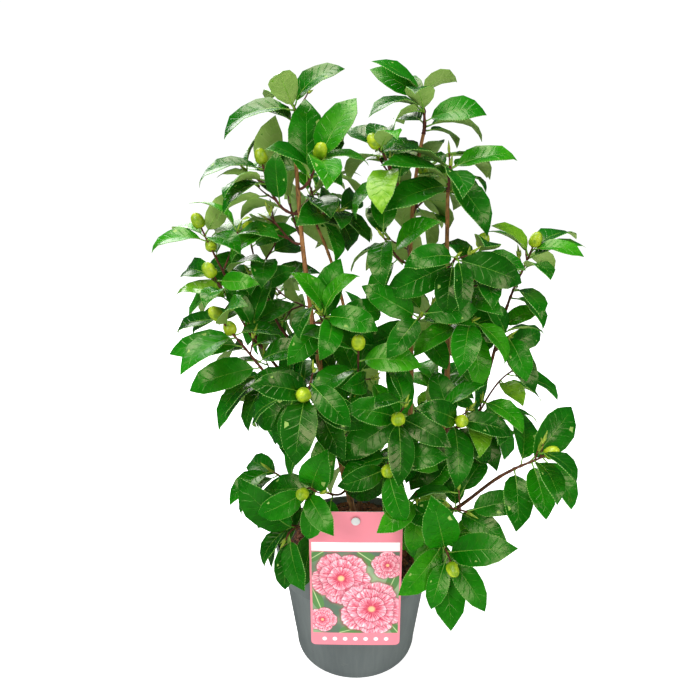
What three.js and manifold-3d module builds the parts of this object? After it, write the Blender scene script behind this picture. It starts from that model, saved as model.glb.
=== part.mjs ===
// Camellia shrub in its nursery pot, with the label card that hangs on the pot's front.
// Millimetres, +Z up; the origin is the middle of the pot's flat underside, -Y is the front.
import * as THREE from 'three';
import { mergeVertices } from 'three/addons/utils/BufferGeometryUtils.js';
import Module from 'manifold-3d';

const wasm = await Module();
wasm.setup();

// ---------------------------------------------------------------- driving dimensions
const CLEAR = 0.3;                       // gap between pieces that meet
const BEND_HANDLE = 0.33;                // how far a bend keeps its end headings, as a share of its span

const POT = {
  height: 143, rimRadius: 95, collarHeight: 28.5, lipRadius: 94, shoulderRadius: 86.5,
  footRadius: 71, footBevel: 3, wall: 1.6, floor: 2.2, sides: 36,
};
const SOIL = { height: 138, edgeDrop: 5, plateau: 56, draft: 1 };
const CARD = {
  width: 95, height: 163, thickness: 0.8, corner: 5, bottom: 73.5, front: -97.6,
  holeRadius: 3.2, holeDrop: 10, arcSteps: 5,
};
const STAKE = { width: 9, thickness: 1.4, footZ: 98, footY: -74, headZ: 232, headY: -94.5 };
const PEG = { radius: 2.6, length: 9, proud: 1.2, headRadius: 4.5, headDepth: 1, headGap: 0.5, sides: 12 };
const GUARD = { pot: 2, potFoot: 1, potTop: 1, potSides: 24, card: 1, cardFace: 3 };   // kept leafless

// Main stems, from the flat cut on the soil: foot (x, y), tip, headings there, radius at foot and tip.
const STEM_SIDES = 8;
const STEM_STEPS = 12;
const FLARE = [1.5, 1.05];               // root flare on the first two rings
const STEMS = {
  left: { foot: [8, -6], tip: [-60, -6, 580], lean: [-0.25, -0.1, 1], end: [-0.02, 0, 1], radii: [3.6, 2] },
  middle: { foot: [32, 16], tip: [66, 4, 600], lean: [0.45, 0, 1], end: [0.2, -0.1, 1], radii: [3.4, 1.7] },
  right: { foot: [46, -8], tip: [91, -6, 545], lean: [0.75, 0, 1], end: [0, 0, 1], radii: [4.0, 1.9] },
  back: { foot: [6, 34], tip: [-42, 30, 505], lean: [-0.05, 0, 1], end: [-0.45, 0, 1], radii: [3.0, 1.5] },
};

// Boughs: the stem each grows on and at what height, tip, heading there, radius at foot and tip.
const BOUGH_SIDES = 6;
const BOUGH_STEPS = 9;
const BOUGHS = {
  upper_right: { on: 'right', at: 285, tip: [163, 10, 425], end: [0.3, 0, 1], radii: [2.2, 1.5] },
  far_right: { on: 'right', at: 190, tip: [158, -74, 271], end: [0.75, -0.3, 0.6], radii: [2.3, 1.6] },
  left_low: { on: 'left', at: 285, tip: [-93, -40, 362], end: [-0.6, -0.05, 0.8], radii: [2.0, 1.5] },
  left_high: { on: 'back', at: 300, tip: [-121, 10, 412], end: [-0.35, 0, 1], radii: [2.1, 1.5] },
  left_rear: { on: 'back', at: 345, tip: [-95, 34, 412], end: [-0.3, 0, 1], radii: [1.9, 1.4] },
};

// Masses of foliage: limb, height on it (0 = on from its tip), tip of the main twig, leaves on it,
// side twigs, seed, flower buds, leaf length, droop of the leaves, heading at the tip.
const MASSES = [
  ['left_crown', 'left', 0, [-64, -4, 628], 4, 0, 1, 1, 66, 0.0, [-0.6, -0.2, 0.8]],
  ['left_crown_out', 'left', 522, [-92, -14, 571], 3, 0, 2, 1, 64, 0.3, [-0.1, 0, 1]],
  ['left_crown_in', 'left', 546, [-36, -30, 577], 3, 0, 3, 1, 66, 0.0, [0.2, -0.7, 0.6]],
  ['left_crown_back', 'left', 500, [-78, 62, 556], 6, 1, 4, 1, 62, 0.3, [-0.1, 0.4, 1]],
  ['left_side', 'left', 492, [-92, 4, 516], 4, 0, 5, 0, 66, 0.3, [-0.9, 0, 0.3]],
  ['middle_crown', 'middle', 0, [64, 0, 632], 4, 0, 6, 0, 66, 0.0, [0, 0, 1]],
  ['middle_crown_in', 'middle', 540, [20, -12, 586], 7, 1, 7, 1, 64, 0.3, [-0.6, 0, 0.6]],
  ['middle_crown_back', 'middle', 520, [72, 66, 562], 6, 1, 8, 1, 62, 0.2, [0.1, 0.4, 1]],
  ['middle_side', 'middle', 470, [26, -10, 500], 5, 0, 9, 0, 62, 0.4, [-0.6, -0.2, 0.6]],
  ['right_crown', 'right', 0, [92, -6, 568], 6, 0, 10, 0, 70, 0.5, [0, 0, 1]],
  ['right_crown_out', 'right', 437, [126, -12, 490], 5, 0, 11, 1, 66, 0.3, [0.3, -0.1, 1]],
  ['right_front', 'right', 470, [96, -50, 486], 6, 0, 12, 0, 66, 0.5, [0.1, -0.7, 0.4]],
  ['back_crown', 'back', 0, [-33, 24, 526], 7, 1, 13, 1, 62, 0.3, [0.1, 0, 1]],
  ['upper_right_top', 'upper_right', 0, [184, 6, 489], 4, 0, 14, 1, 60, 0.1, [0.3, 0, 1]],
  ['upper_right_mid', 'upper_right', 375, [158, -22, 398], 5, 0, 15, 0, 56, 0.3, [0.6, -0.4, 0.4]],
  ['far_right_end', 'far_right', 0, [188, -85, 294], 3, 0, 16, 1, 68, 0.1, [0.8, 0, 0.5]],
  ['far_right_mid', 'far_right', 215, [112, -96, 236], 3, 0, 17, 0, 60, 0.4, [0.6, -0.6, 0]],
  ['left_low_tip', 'left_low', 0, [-137, -42, 422], 5, 0, 18, 2, 68, 0.3, [-0.6, 0, 0.8]],
  ['left_high_tip', 'left_high', 0, [-163, 10, 508], 5, 1, 19, 2, 60, 0.3, [-0.4, 0, 1]],
  ['left_high_front', 'left_high', 380, [-146, -22, 462], 4, 0, 20, 1, 62, 0.3, [-0.5, -0.3, 0.8]],
  ['left_rear_tip', 'left_rear', 0, [-117, 34, 502], 7, 1, 21, 1, 60, 0.3, [-0.1, 0, 1]],
  ['centre_front', 'back', 330, [2, -60, 398], 7, 0, 22, 1, 66, 0.2, [0, -0.3, 1]],
  ['front_left', 'left', 320, [-48, -106, 365], 8, 0, 23, 1, 68, 0.3, [0, -1, 0.1]],
  ['front_middle', 'middle', 280, [40, -98, 338], 8, 0, 24, 1, 66, 0.3, [0, -1, 0.1]],
  ['front_right', 'right', 285, [102, -80, 328], 7, 0, 25, 1, 66, 0.3, [0.2, -1, 0.1]],
  ['front_low', 'middle', 230, [31, -104, 287], 7, 0, 26, 1, 62, 0.4, [0, -1, 0]],
  ['low_left', 'left', 215, [-51, -98, 258], 8, 0, 27, 1, 64, 0.3, [-0.1, -0.9, 0]],
  ['low_left_hang', 'left', 175, [-72, -92, 200], 2, 0, 28, 0, 62, 0.6, [-0.2, -0.9, -0.4]],
  ['low_right_hang', 'right', 178, [94, -120, 192], 5, 0, 29, 1, 68, 0.5, [0.1, -0.9, -0.5]],
  ['low_right_front', 'right', 200, [60, -96, 250], 5, 0, 30, 0, 62, 0.4, [-0.1, -0.9, -0.2]],
  ['right_low_out', 'right', 300, [140, -40, 316], 6, 0, 31, 0, 64, 0.3, [0.8, -0.4, 0]],
  ['right_mid_out', 'right', 256, [178, 18, 348], 4, 0, 32, 1, 54, 0.2, [0.8, 0, 0.4]],
  ['right_inner', 'right', 400, [116, -40, 420], 6, 0, 33, 0, 64, 0.4, [0.6, -0.6, 0.3]],
  ['left_mid_out', 'left', 330, [-104, -20, 352], 6, 0, 34, 0, 66, 0.3, [-0.8, -0.1, 0]],
  ['low_left_out', 'left', 190, [-94, -36, 250], 5, 1, 35, 0, 62, 0.2, [-0.8, -0.1, 0.5]],
  ['middle_front', 'middle', 400, [64, -46, 428], 6, 0, 36, 0, 62, 0.4, [0.1, -0.8, 0.4]],
  ['inner_left', 'left', 410, [-24, -46, 424], 6, 0, 37, 0, 62, 0.3, [0.4, -0.6, 0.5]],
  ['inner_back', 'back', 322, [-26, 2, 350], 5, 0, 38, 0, 62, 0.2, [-0.2, -0.5, 0.8]],
  ['back_left_low', 'back', 250, [-76, 110, 300], 8, 1, 39, 1, 66, 0.3, [-0.5, 0.8, 0.3]],
  ['back_right_low', 'middle', 230, [110, 115, 290], 8, 1, 40, 1, 66, 0.3, [0.4, 0.8, 0.3]],
  ['back_middle', 'back', 350, [14, 120, 372], 8, 1, 41, 1, 66, 0.3, [0.1, 0.9, 0.4]],
  ['back_right_mid', 'middle', 380, [122, 95, 415], 8, 1, 42, 1, 66, 0.3, [0.5, 0.7, 0.5]],
  ['back_left_mid', 'back', 410, [-104, 105, 430], 7, 1, 43, 1, 62, 0.3, [-0.5, 0.7, 0.5]],
  ['back_low', 'back', 190, [20, 118, 225], 7, 1, 44, 0, 66, 0.4, [0, 0.9, 0.2]],
  ['back_high', 'middle', 470, [56, 88, 515], 7, 0, 45, 1, 62, 0.3, [-0.1, 0.6, 0.8]],
];

// Eye point in front of the plant that the tips below are sighted from, in mm, looking down and to
// one side by degrees. A sighting counts steps right and down on a plane that is `reach` steps away.
const SIGHT = { y: -630, z: 567, pitch: 16.83, yaw: 0.62, reach: 605, middle: 350 };

// Leaves set by hand, which grow before the rule's own: mass, place on its main twig, tip of the
// leaf (sighted right, sighted down, its y in mm), way its upper face looks, curl.
const SET_LEAVES = [
  ['left_crown', 0.86, [345, 66, -12], [-0.4, -0.8, 0.7], 1.2],
  ['left_crown', 0.8, [219, 137, -12], [-0.2, -0.6, 1], 1.1],
  ['left_crown', 0.85, [266, 96, 45], [-0.3, 0.3, 0.9], 0.9],
  ['left_crown_in', 0.3, [306, 95, -6], [0.15, -1, 0.25], 0.3],
  ['left_crown_in', 0.8, [356, 95, 0], [-0.3, -0.9, 0.3], 0.4],
  ['left_crown_in', 0.85, [371, 163, -10], [0.1, -0.4, 1], 0.9],
  ['left_crown_in', 0.7, [342, 184, -62], [0.1, -0.8, 0.6], 0.7],
  ['left_crown_in', 0.5, [363, 194, 20], [0.2, -0.1, 1], 0.9],
  ['left_crown_out', 0.8, [275, 116, 14], [-0.3, 0.9, 0.1], 0.5],
  ['left_crown_out', 0.9, [193, 182, -20], [0, -0.35, 1], 1],
  ['left_crown_out', 0.7, [221, 213, -40], [-0.4, -0.5, 0.8], 1.1],
  ['left_crown_out', 0.35, [275, 150, -30], [-0.2, -1, 0.1], 0.4],
  ['left_crown_out', 0.2, [238, 214, 16], [0, 0.3, 1], 0.9],
  ['middle_crown', 0.93, [370, 67, 0], [0.1, -1, 0.4], 0.4],
  ['middle_crown', 0.6, [366, 115, -18], [0, -0.3, 1], 1.2],
  ['middle_crown', 0.6, [388, 134, -34], [-0.7, 0, 0.7], 1],
  ['middle_crown', 0.9, [461, 78, 6], [-0.5, 0.6, 0.6], 2],
  ['middle_crown', 0.04, [461, 145, 30], [0, -0.3, 1], 0.8],
  ['middle_crown', 0.3, [490, 111, -12], [0, -0.8, 0.6], 0.9],
  ['middle_crown', 0.15, [487, 136, 14], [0, 0, 1], 0.9],
  ['right_crown', 0.6, [492, 233, -44], [0.3, -1, 0.4], 0.5],
  ['right_crown', 0.9, [490, 174, 30], [0, 0, 1], 1.1],
  ['right_crown', 0.8, [381, 150, -20], [0, -0.2, 1], 0.8],
  ['right_crown', 0.3, [381, 162, -42], [0, -0.4, 0.9], 0.7],
  ['right_crown_out', 0.85, [527, 269, -40], [0, -0.8, 0.7], 0.5],
  ['right_crown_out', 0.15, [503, 312, -54], [0.1, -0.9, 0.5], 0.5],
  ['upper_right_top', 0.93, [585, 256, -20], [0, -0.5, 0.9], 0.8],
  ['upper_right_top', 0.88, [578, 235, 36], [0, -0.1, 1], 1.1],
  ['upper_right_top', 0.6, [553, 277, -46], [0.2, -0.4, 0.9], 1],
  ['upper_right_top', 0.82, [492, 223, 0], [0.4, -0.5, 0.7], 1],
  ['upper_right_top', 0.12, [547, 328, -30], [0.3, -0.3, 0.9], 1],
  ['right_mid_out', 0.93, [563, 400, 0], [0, -0.2, 1], 1],
  ['right_mid_out', 0.85, [524, 404, -36], [0, -0.7, 0.7], 0.6],
  ['right_mid_out', 0.5, [541, 417, 30], [0, 0, 1], 0.6],
  ['right_low_out', 0.5, [499, 471, -66], [0.3, -0.8, 0.6], 0.6],
  ['far_right_end', 0.55, [575, 405, -36], [-0.2, -1, 0.2], 0.3],
  ['far_right_end', 0.9, [577, 511, -112], [0.5, -1, 0.5], 0.7],
  ['far_right_end', 0.6, [548, 520, -128], [0, -1, 0.4], 0.6],
  ['far_right_end', 0.1, [518, 532, -126], [0, -1, 0.4], 0.5],
  ['far_right_mid', 0.6, [507, 541, -124], [0.2, -1, 0.5], 0.6],
  ['low_right_hang', 0.74, [452, 633, -138], [0, -1, 0.5], 0.4],
  ['low_right_hang', 0.85, [488, 613, -140], [0.3, -1, 0.4], 0.4],
  ['low_right_hang', 0.85, [518, 548, -142], [0.2, -0.8, 0.7], 0.6],
  ['low_right_hang', 0.8, [432, 499, -126], [0, -1, 0.3], 0.5],
  ['low_right_hang', 0.88, [430, 612, -136], [-0.3, -1, 0.4], 0.5],
  ['left_low_tip', 0.5, [167, 352, -52], [-0.1, -0.7, 0.8], 0.8],
  ['left_low_tip', 0.12, [187, 390, -56], [-0.2, -0.8, 0.6], 0.8],
  ['left_low_tip', 0.7, [287, 336, -24], [0, -0.3, 1], 0.9],
  ['left_mid_out', 0.85, [216, 431, -46], [-0.5, -0.4, 0.8], 1.1],
  ['left_high_tip', 0.88, [172, 229, 40], [0, -0.2, 1], 0.9],
  ['left_high_tip', 0.9, [226, 192, 24], [0.3, 0.5, 0.6], 0.8],
  ['left_high_tip', 0.85, [242, 250, -28], [0, -0.4, 1], 0.9],
  ['left_high_front', 0.93, [258, 283, -44], [0, -1, 0.4], 0.5],
  ['left_high_front', 0.8, [203, 303, -68], [-0.2, -1, 0.4], 0.9],
  ['left_high_front', 0.7, [173, 290, -20], [-0.2, -0.3, 1], 1],
  ['left_rear_tip', 0.35, [294, 268, 4], [0, -1, 0.2], 0.4],
  ['left_rear_tip', 0.8, [298, 228, 14], [0, -0.8, 0.6], 0.7],
  ['low_left_hang', 0.93, [284, 592, -112], [-0.1, -1, 0.3], 0.5],
  ['low_left_hang', 0.8, [236, 479, -82], [-0.3, -1, 0.2], 0.6],
  ['low_left_out', 0.9, [235, 514, -62], [-0.3, -0.2, 1], 0.9],
];

const TWIG = {
  sides: 3, steps: 4, footRadius: 1.5, tipRadius: 0.9,
  onTip: 0.95,                           // share of a limb's tip radius where the twig goes on from it
  bare: 0.25, bareOnTip: 0.05,           // share of its length below the first leaf
};
const FORK = {
  steps: 4, footRadius: 1.2, tipRadius: 0.8, leaves: 5, reach: [38, 55],
  share: [0.35, 0.7],                    // where on the main twig it leaves
  ahead: 0.8, lift: 0.25, rise: 0.4,     // how much it keeps the twig's way, leaves upward, ends upward
};
const LEAF = {
  first: 0.6, crowding: 1.4,             // place of the first leaf in its step, crowding toward the tip
  turn: 137.5,                           // degrees round the twig from one leaf to the next
  turnPlay: 16, rollPlay: 30,            // degrees either way
  faceAlong: 0.8, faceUp: 0.6, faceFront: 0.5, // how much a leaf faces along its twig, up and forward
  spread: [62, 80], spreadCloses: 30,    // degrees from the twig, and how much less at its tip
  length: [0.84, 1.1], shrinks: 0.12,    // shares of the mass's leaf length
  curl: [0.45, 1.15],                    // radians from petiole to tip
  sag: [0.5, 1.5],                       // shares of the mass's droop
  petiole: 8, halfWidth: 0.255, halfThickness: 0.55, sunk: 0.4, neck: 5, neckWidth: 0.9,
  stations: [                            // shares of the length and of the half width, rise of the edges
    { share: 0.3, breadth: 0.93, fold: 0.28, underside: true },
    { share: 0.68, breadth: 0.84, fold: 0, underside: false },
  ],
  retries: [0, 35, -35, 70, -70],        // degrees tried before a leaf is skipped
  lowest: 6,                             // no leaf hangs nearer the ground
};
const BUD = { radius: 7, halfLength: 8.5, sides: 5, waist: 0.45, sink: 2.5 };
const FUSE_TOLERANCE = 0.1;              // detail finer than this is dropped where leaves are fused
const UP = new THREE.Vector3(0, 0, 1);
const FORWARD = new THREE.Vector3(0, 1, 0);
const STEEP = { twig: 0.95, limb: 0.9 };      // rise past which a way counts as upright
const WELD = 1e-3;                       // points nearer than this are one

// ---------------------------------------------------------------- materials
const finish = (color, roughness) => new THREE.MeshStandardMaterial({
  color, roughness, metalness: 0, flatShading: true,
});
const FINISH = {
  pot: finish(0x6b7474, 0.55), soil: finish(0x3a241a, 0.95), card: finish(0xf59bb0, 0.35),
  stake: finish(0xdfe3e2, 0.3), stem: finish(0x8f623f, 0.8), bough: finish(0x6b3a28, 0.75),
  leaf: finish(0x1d6b1c, 0.35),
};

// ---------------------------------------------------------------- small helpers
const vec = (list) => new THREE.Vector3(...list);
const mix = (low, high, share) => low + (high - low) * share;
const radians = THREE.MathUtils.degToRad;

/** Place of a sighted point, to the nearest millimetre. */
function sighted([right, down, y]) {
  const line = vec([(right - SIGHT.middle) / SIGHT.reach, 1, (SIGHT.middle - down) / SIGHT.reach])
    .applyAxisAngle(vec([1, 0, 0]), -radians(SIGHT.pitch))
    .applyAxisAngle(UP, radians(SIGHT.yaw));
  return line.multiplyScalar((y - SIGHT.y) / line.y).add(vec([0, SIGHT.y, SIGHT.z])).round();
}

/** Repeatable dice (Park-Miller), one per mass. */
const DICE = { factor: 16807, modulus: 2147483647, spacing: 7919, offset: 17, warmUp: 3 };
class Dice {
  constructor(seed) {
    this.state = seed * DICE.spacing + DICE.offset;
    for (let k = 0; k < DICE.warmUp; k += 1) this.roll();
  }

  roll() {
    this.state = (this.state * DICE.factor) % DICE.modulus;
    return this.state / DICE.modulus;
  }

  between(low, high) {
    return mix(low, high, this.roll());
  }
}

/** Points on one smooth bend from foot to tip that leaves and arrives on the given headings. */
function bend(foot, tip, footHeading, tipHeading, steps) {
  const handle = foot.distanceTo(tip) * BEND_HANDLE;
  const leaving = foot.clone().addScaledVector(footHeading.clone().normalize(), handle);
  const arriving = tip.clone().addScaledVector(tipHeading.clone().normalize(), -handle);
  return new THREE.CubicBezierCurve3(foot, leaving, arriving, tip).getPoints(steps);
}

/** Two directions square to an axis. */
function across(axis) {
  const helper = Math.abs(axis.z) < STEEP.twig ? UP : new THREE.Vector3(1, 0, 0);
  const first = new THREE.Vector3().crossVectors(axis, helper).normalize();
  return [first, new THREE.Vector3().crossVectors(axis, first)];
}

/** Tapering limb: rings square to the path, the first one square to the heading it leaves on. */
function limbForm(path, radii, sides, leaving) {
  const last = path.length - 1;
  const start = leaving.clone().normalize();
  const side = new THREE.Vector3().crossVectors(start, Math.abs(start.z) < STEEP.limb ? UP : FORWARD);
  const points = [];
  const faces = [];
  path.forEach((centre, k) => {
    const along = path[Math.min(k + 1, last)].clone().sub(path[Math.max(k - 1, 0)]).normalize();
    if (k === 0) along.copy(start);
    side.addScaledVector(along, -side.dot(along)).normalize();
    const other = new THREE.Vector3().crossVectors(along, side);
    for (let j = 0; j < sides; j += 1) {
      const angle = (2 * Math.PI * j) / sides;
      points.push(centre.clone()
        .addScaledVector(side, radii[k] * Math.cos(angle))
        .addScaledVector(other, radii[k] * Math.sin(angle)));
    }
  });
  for (let k = 0; k < last; k += 1) {
    for (let j = 0; j < sides; j += 1) {
      const a = k * sides + j;
      const b = k * sides + ((j + 1) % sides);
      faces.push([a, b, b + sides], [a, b + sides, a + sides]);
    }
  }
  const top = last * sides;
  for (let j = 1; j < sides - 1; j += 1) faces.push([0, j + 1, j], [top, top + j, top + j + 1]);
  return { points, faces };
}

/** Even taper over the rings of a path. */
const taper = (count, foot, tip) => Array.from(
  { length: count },
  (_, k) => mix(foot, tip, k / (count - 1)),
);

// ---------------------------------------------------------------- forms of leaf and bud
// A leaf is a sunk root, a three-cornered neck, a folded station of four (left, top, right,
// underside), a flat one of three (left, top, right) and a tip.
const LEAF_FACES = [
  [0, 1, 2], [0, 2, 3], [0, 3, 1],
  [1, 4, 5], [1, 5, 2], [2, 5, 6], [2, 6, 3], [3, 6, 7], [3, 7, 1], [1, 7, 4],
  [4, 8, 5], [5, 8, 9], [5, 9, 6], [6, 9, 10], [6, 10, 7], [7, 10, 8], [7, 8, 4],
  [8, 11, 9], [9, 11, 10], [10, 11, 8],
];
const LEAF_ROOT_FACES = 3;

/** Leaf folded along its rib, on an arc that curls down and away from its upper face. */
function leafPoints(root, heading, upper, length, curl) {
  const side = new THREE.Vector3().crossVectors(heading, upper);
  const neck = root.clone().addScaledVector(heading, LEAF.neck);
  const base = root.clone().addScaledVector(heading, LEAF.petiole);
  const radius = length / curl;
  const arc = (share) => {
    const angle = curl * share;
    return {
      centre: base.clone().addScaledVector(heading, radius * Math.sin(angle))
        .addScaledVector(upper, -radius * (1 - Math.cos(angle))),
      normal: heading.clone().multiplyScalar(Math.sin(angle)).addScaledVector(upper, Math.cos(angle)),
    };
  };
  const points = [root.clone().addScaledVector(heading, -LEAF.sunk)];
  points.push(...[side, side.clone().negate(), upper.clone().negate()]
    .map((way) => neck.clone().addScaledVector(way, LEAF.neckWidth)));
  for (const { share, breadth, fold, underside } of LEAF.stations) {
    const { centre, normal } = arc(share);
    const half = LEAF.halfWidth * length * breadth;
    const edge = (way) => centre.clone().addScaledVector(side, way * half)
      .addScaledVector(normal, fold * half);
    points.push(edge(1), centre.clone().addScaledVector(normal, LEAF.halfThickness), edge(-1));
    if (underside) points.push(centre.clone().addScaledVector(normal, -LEAF.halfThickness));
  }
  points.push(arc(1).centre);
  return points;
}

/** Flower bud: two rings between two ends, on the twig's line. */
function budForm(centre, axis) {
  const [first, second] = across(axis);
  const points = [centre.clone().addScaledVector(axis, -BUD.halfLength)];
  const ring = BUD.radius * Math.sqrt(1 - BUD.waist ** 2);
  for (const way of [-1, 1]) {
    for (let j = 0; j < BUD.sides; j += 1) {
      const angle = (2 * Math.PI * (j + (way > 0 ? 0.5 : 0))) / BUD.sides;
      points.push(centre.clone().addScaledVector(axis, way * BUD.waist * BUD.halfLength)
        .addScaledVector(first, ring * Math.cos(angle)).addScaledVector(second, ring * Math.sin(angle)));
    }
  }
  points.push(centre.clone().addScaledVector(axis, BUD.halfLength));
  const faces = [];
  const end = points.length - 1;
  for (let j = 0; j < BUD.sides; j += 1) {
    const low = 1 + j;
    const lowNext = 1 + ((j + 1) % BUD.sides);
    const high = low + BUD.sides;
    const highNext = lowNext + BUD.sides;
    faces.push([0, lowNext, low], [low, lowNext, high], [lowNext, highNext, high], [high, highNext, end]);
  }
  return { points, faces };
}

// ---------------------------------------------------------------- keeping solids apart
/** A solid with what the crossing test needs: its edges, its box and the mass it belongs to. */
function placed(form, mass = '') {
  const edges = new Map();
  for (const face of form.faces) {
    face.forEach((from, k) => {
      const to = face[(k + 1) % 3];
      edges.set(`${Math.min(from, to)} ${Math.max(from, to)}`, [from, to]);
    });
  }
  return { ...form, mass, edges: [...edges.values()], box: new THREE.Box3().setFromPoints(form.points) };
}

const ray = new THREE.Ray();
const met = new THREE.Vector3();

/** Whether an edge of one solid goes through a face of the other. */
function pierces(one, other) {
  return one.edges.some(([from, to]) => {
    ray.origin.copy(one.points[from]);
    ray.direction.subVectors(one.points[to], ray.origin);
    const reach = ray.direction.lengthSq();
    return other.faces.some(([a, b, c]) => {
      const { points } = other;
      return ray.intersectTriangle(points[a], points[b], points[c], false, met)
        && met.distanceToSquared(ray.origin) <= reach;
    });
  });
}

const crosses = (one, other) => one.box.intersectsBox(other.box)
  && (pierces(one, other) || pierces(other, one));

/** The part of a leaf beyond its root, which stays clear of its own mass too. */
function bladeOf(leaf) {
  const faces = leaf.faces.slice(LEAF_ROOT_FACES);
  const edges = leaf.edges.filter(([from, to]) => Math.min(from, to) > 0);
  return { points: leaf.points, faces, edges, box: leaf.box };
}

// ---------------------------------------------------------------- growing the plant
/** Point, radius and heading of a limb at a height. */
function limbAt(limb, height) {
  const { path, radii } = limb;
  let k = 0;
  while (k < path.length - 2 && path[k + 1].z < height) k += 1;
  const share = (height - path[k].z) / (path[k + 1].z - path[k].z);
  return {
    point: path[k].clone().lerp(path[k + 1], share),
    radius: mix(radii[k], radii[k + 1], share),
    heading: path[k + 1].clone().sub(path[k]).normalize(),
  };
}

/** Where a side limb leaves its parent: square to it, on the side of its tip, just clear of the bark. */
function branchFoot(limb, height, tip) {
  const { point, radius, heading } = limbAt(limb, height);
  const out = tip.clone().sub(point);
  out.addScaledVector(heading, -out.dot(heading)).normalize();
  return { foot: point.addScaledVector(out, radius + CLEAR), out };
}

function growStem({ foot, tip, lean, end, radii }) {
  const start = vec([...foot, SOIL.height + CLEAR]);
  const path = bend(start, vec(tip), vec(lean), vec(end), STEM_STEPS);
  const width = taper(path.length, ...radii).map((radius, k) => radius * (FLARE[k] ?? 1));
  const form = limbForm(path, width, STEM_SIDES, vec(lean));
  form.points.slice(0, STEM_SIDES).forEach((point) => point.setZ(start.z));
  return { path, radii: width, form };
}

function growBough({ on, at, tip, end, radii }, limbs) {
  const { foot, out } = branchFoot(limbs[on], at, vec(tip));
  const path = bend(foot, vec(tip), out, vec(end), BOUGH_STEPS);
  const width = taper(path.length, ...radii);
  return { path, radii: width, form: limbForm(path, width, BOUGH_SIDES, out) };
}

/** Where the stem of a mass starts: on a limb's side at a height, or on from the limb's tip. */
function massFoot(limb, height, tip) {
  if (height > 0) return { ...branchFoot(limb, height, tip), radius: TWIG.footRadius, bare: TWIG.bare };
  const end = limb.path.at(-1);
  const out = end.clone().sub(limb.path.at(-2)).normalize();
  const radius = limb.radii.at(-1) * TWIG.onTip;
  return { foot: end.clone().addScaledVector(out, CLEAR), out, radius, bare: TWIG.bareOnTip };
}

/** A side twig from a main twig's path: ahead, outward at a thrown turn and a little up. */
function growFork(path, dice, name) {
  const knot = Math.floor(dice.between(...FORK.share) * TWIG.steps);
  const axis = path[knot + 1].clone().sub(path[knot]).normalize();
  const turn = radians(dice.between(0, 360));
  const [first, second] = across(axis);
  const out = axis.clone().multiplyScalar(FORK.ahead).addScaledVector(first, Math.cos(turn))
    .addScaledVector(second, Math.sin(turn)).addScaledVector(UP, FORK.lift).normalize();
  const far = path[knot].clone().addScaledVector(out, dice.between(...FORK.reach));
  const side = bend(path[knot], far, out, out.clone().addScaledVector(UP, FORK.rise), FORK.steps);
  const radii = taper(side.length, FORK.footRadius, FORK.tipRadius);
  return { twig: { path: side, leaves: FORK.leaves, bare: TWIG.bare },
    solid: placed(limbForm(side, radii, TWIG.sides, out), name) };
}

/** Flower buds of a main twig: one on its tip, a second one leaning out just below. */
function growBuds(path, count, name) {
  const heading = path.at(-1).clone().sub(path.at(-2)).normalize();
  const leaning = heading.clone().add(across(heading)[0]).normalize();
  return [[path.at(-1), heading], [path.at(-2), leaning]].slice(0, count).map(([seat, axis]) => {
    const centre = seat.clone().addScaledVector(axis, BUD.halfLength - BUD.sink);
    return placed(budForm(centre, axis), name);
  });
}

/** Twigs and buds of a mass: one main twig from the limb, and side twigs by the seeded rule. */
function growTwigs([name, on, at, tip, leaves, forks, seed, buds, leafLength, droop, end], limbs, taken) {
  const dice = new Dice(seed);
  const start = massFoot(limbs[on], at, vec(tip));
  const path = bend(start.foot, vec(tip), start.out, vec(end), TWIG.steps);
  const radii = taper(path.length, start.radius, TWIG.tipRadius);
  const twigs = [{ path, leaves, bare: start.bare }];
  const solids = [placed(limbForm(path, radii, TWIG.sides, start.out), name)];
  for (let k = 0; k < forks; k += 1) {
    const fork = growFork(path, dice, name);
    if (taken.some((other) => crosses(fork.solid, other))) continue;
    twigs.push(fork.twig);
    solids.push(fork.solid);
  }
  solids.push(...growBuds(path, buds, name));
  return { name, dice, twigs, solids, leafLength, droop };
}

/** Point of a twig and its heading there, at a share of its length. */
function seatOn({ path }, share) {
  const last = path.length - 1;
  const knot = Math.min(Math.floor(share * last), last - 1);
  return {
    root: path[knot].clone().lerp(path[knot + 1], share * last - knot),
    axis: path[knot + 1].clone().sub(path[knot]).normalize(),
  };
}

/** A leaf as a solid of its mass, or null where it would touch something or hang too low. */
function placedLeaf(mass, root, heading, upper, length, curl, taken) {
  const points = leafPoints(root, heading, upper, length, curl);
  const leaf = placed({ points, faces: LEAF_FACES }, mass.name);
  const blade = bladeOf(leaf);
  const touches = (other) => crosses(other.mass === mass.name ? blade : leaf, other);
  return leaf.box.min.z >= LEAF.lowest && !taken.some(touches) ? leaf : null;
}

/** A leaf from the main twig to a sighted tip: the chord between them fixes its length and heading. */
function setLeaf(mass, [, share, tip, look, curl], taken) {
  const { root } = seatOn(mass.twigs[0], share);
  const chord = sighted(tip).sub(root);
  const ahead = Math.sin(curl) / curl;
  const below = (1 - Math.cos(curl)) / curl;
  const square = ahead ** 2 + below ** 2;
  const start = LEAF.petiole * ahead;
  const length = (Math.sqrt(start ** 2 + square * (chord.lengthSq() - LEAF.petiole ** 2)) - start) / square;
  const lift = Math.atan2(below * length, LEAF.petiole + ahead * length);
  chord.normalize();
  const face = vec(look);
  face.addScaledVector(chord, -face.dot(chord)).normalize();
  const heading = chord.clone().multiplyScalar(Math.cos(lift)).addScaledVector(face, Math.sin(lift));
  const upper = face.multiplyScalar(Math.cos(lift)).addScaledVector(chord, -Math.sin(lift));
  return placedLeaf(mass, root, heading, upper, length, curl, taken);
}

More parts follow.
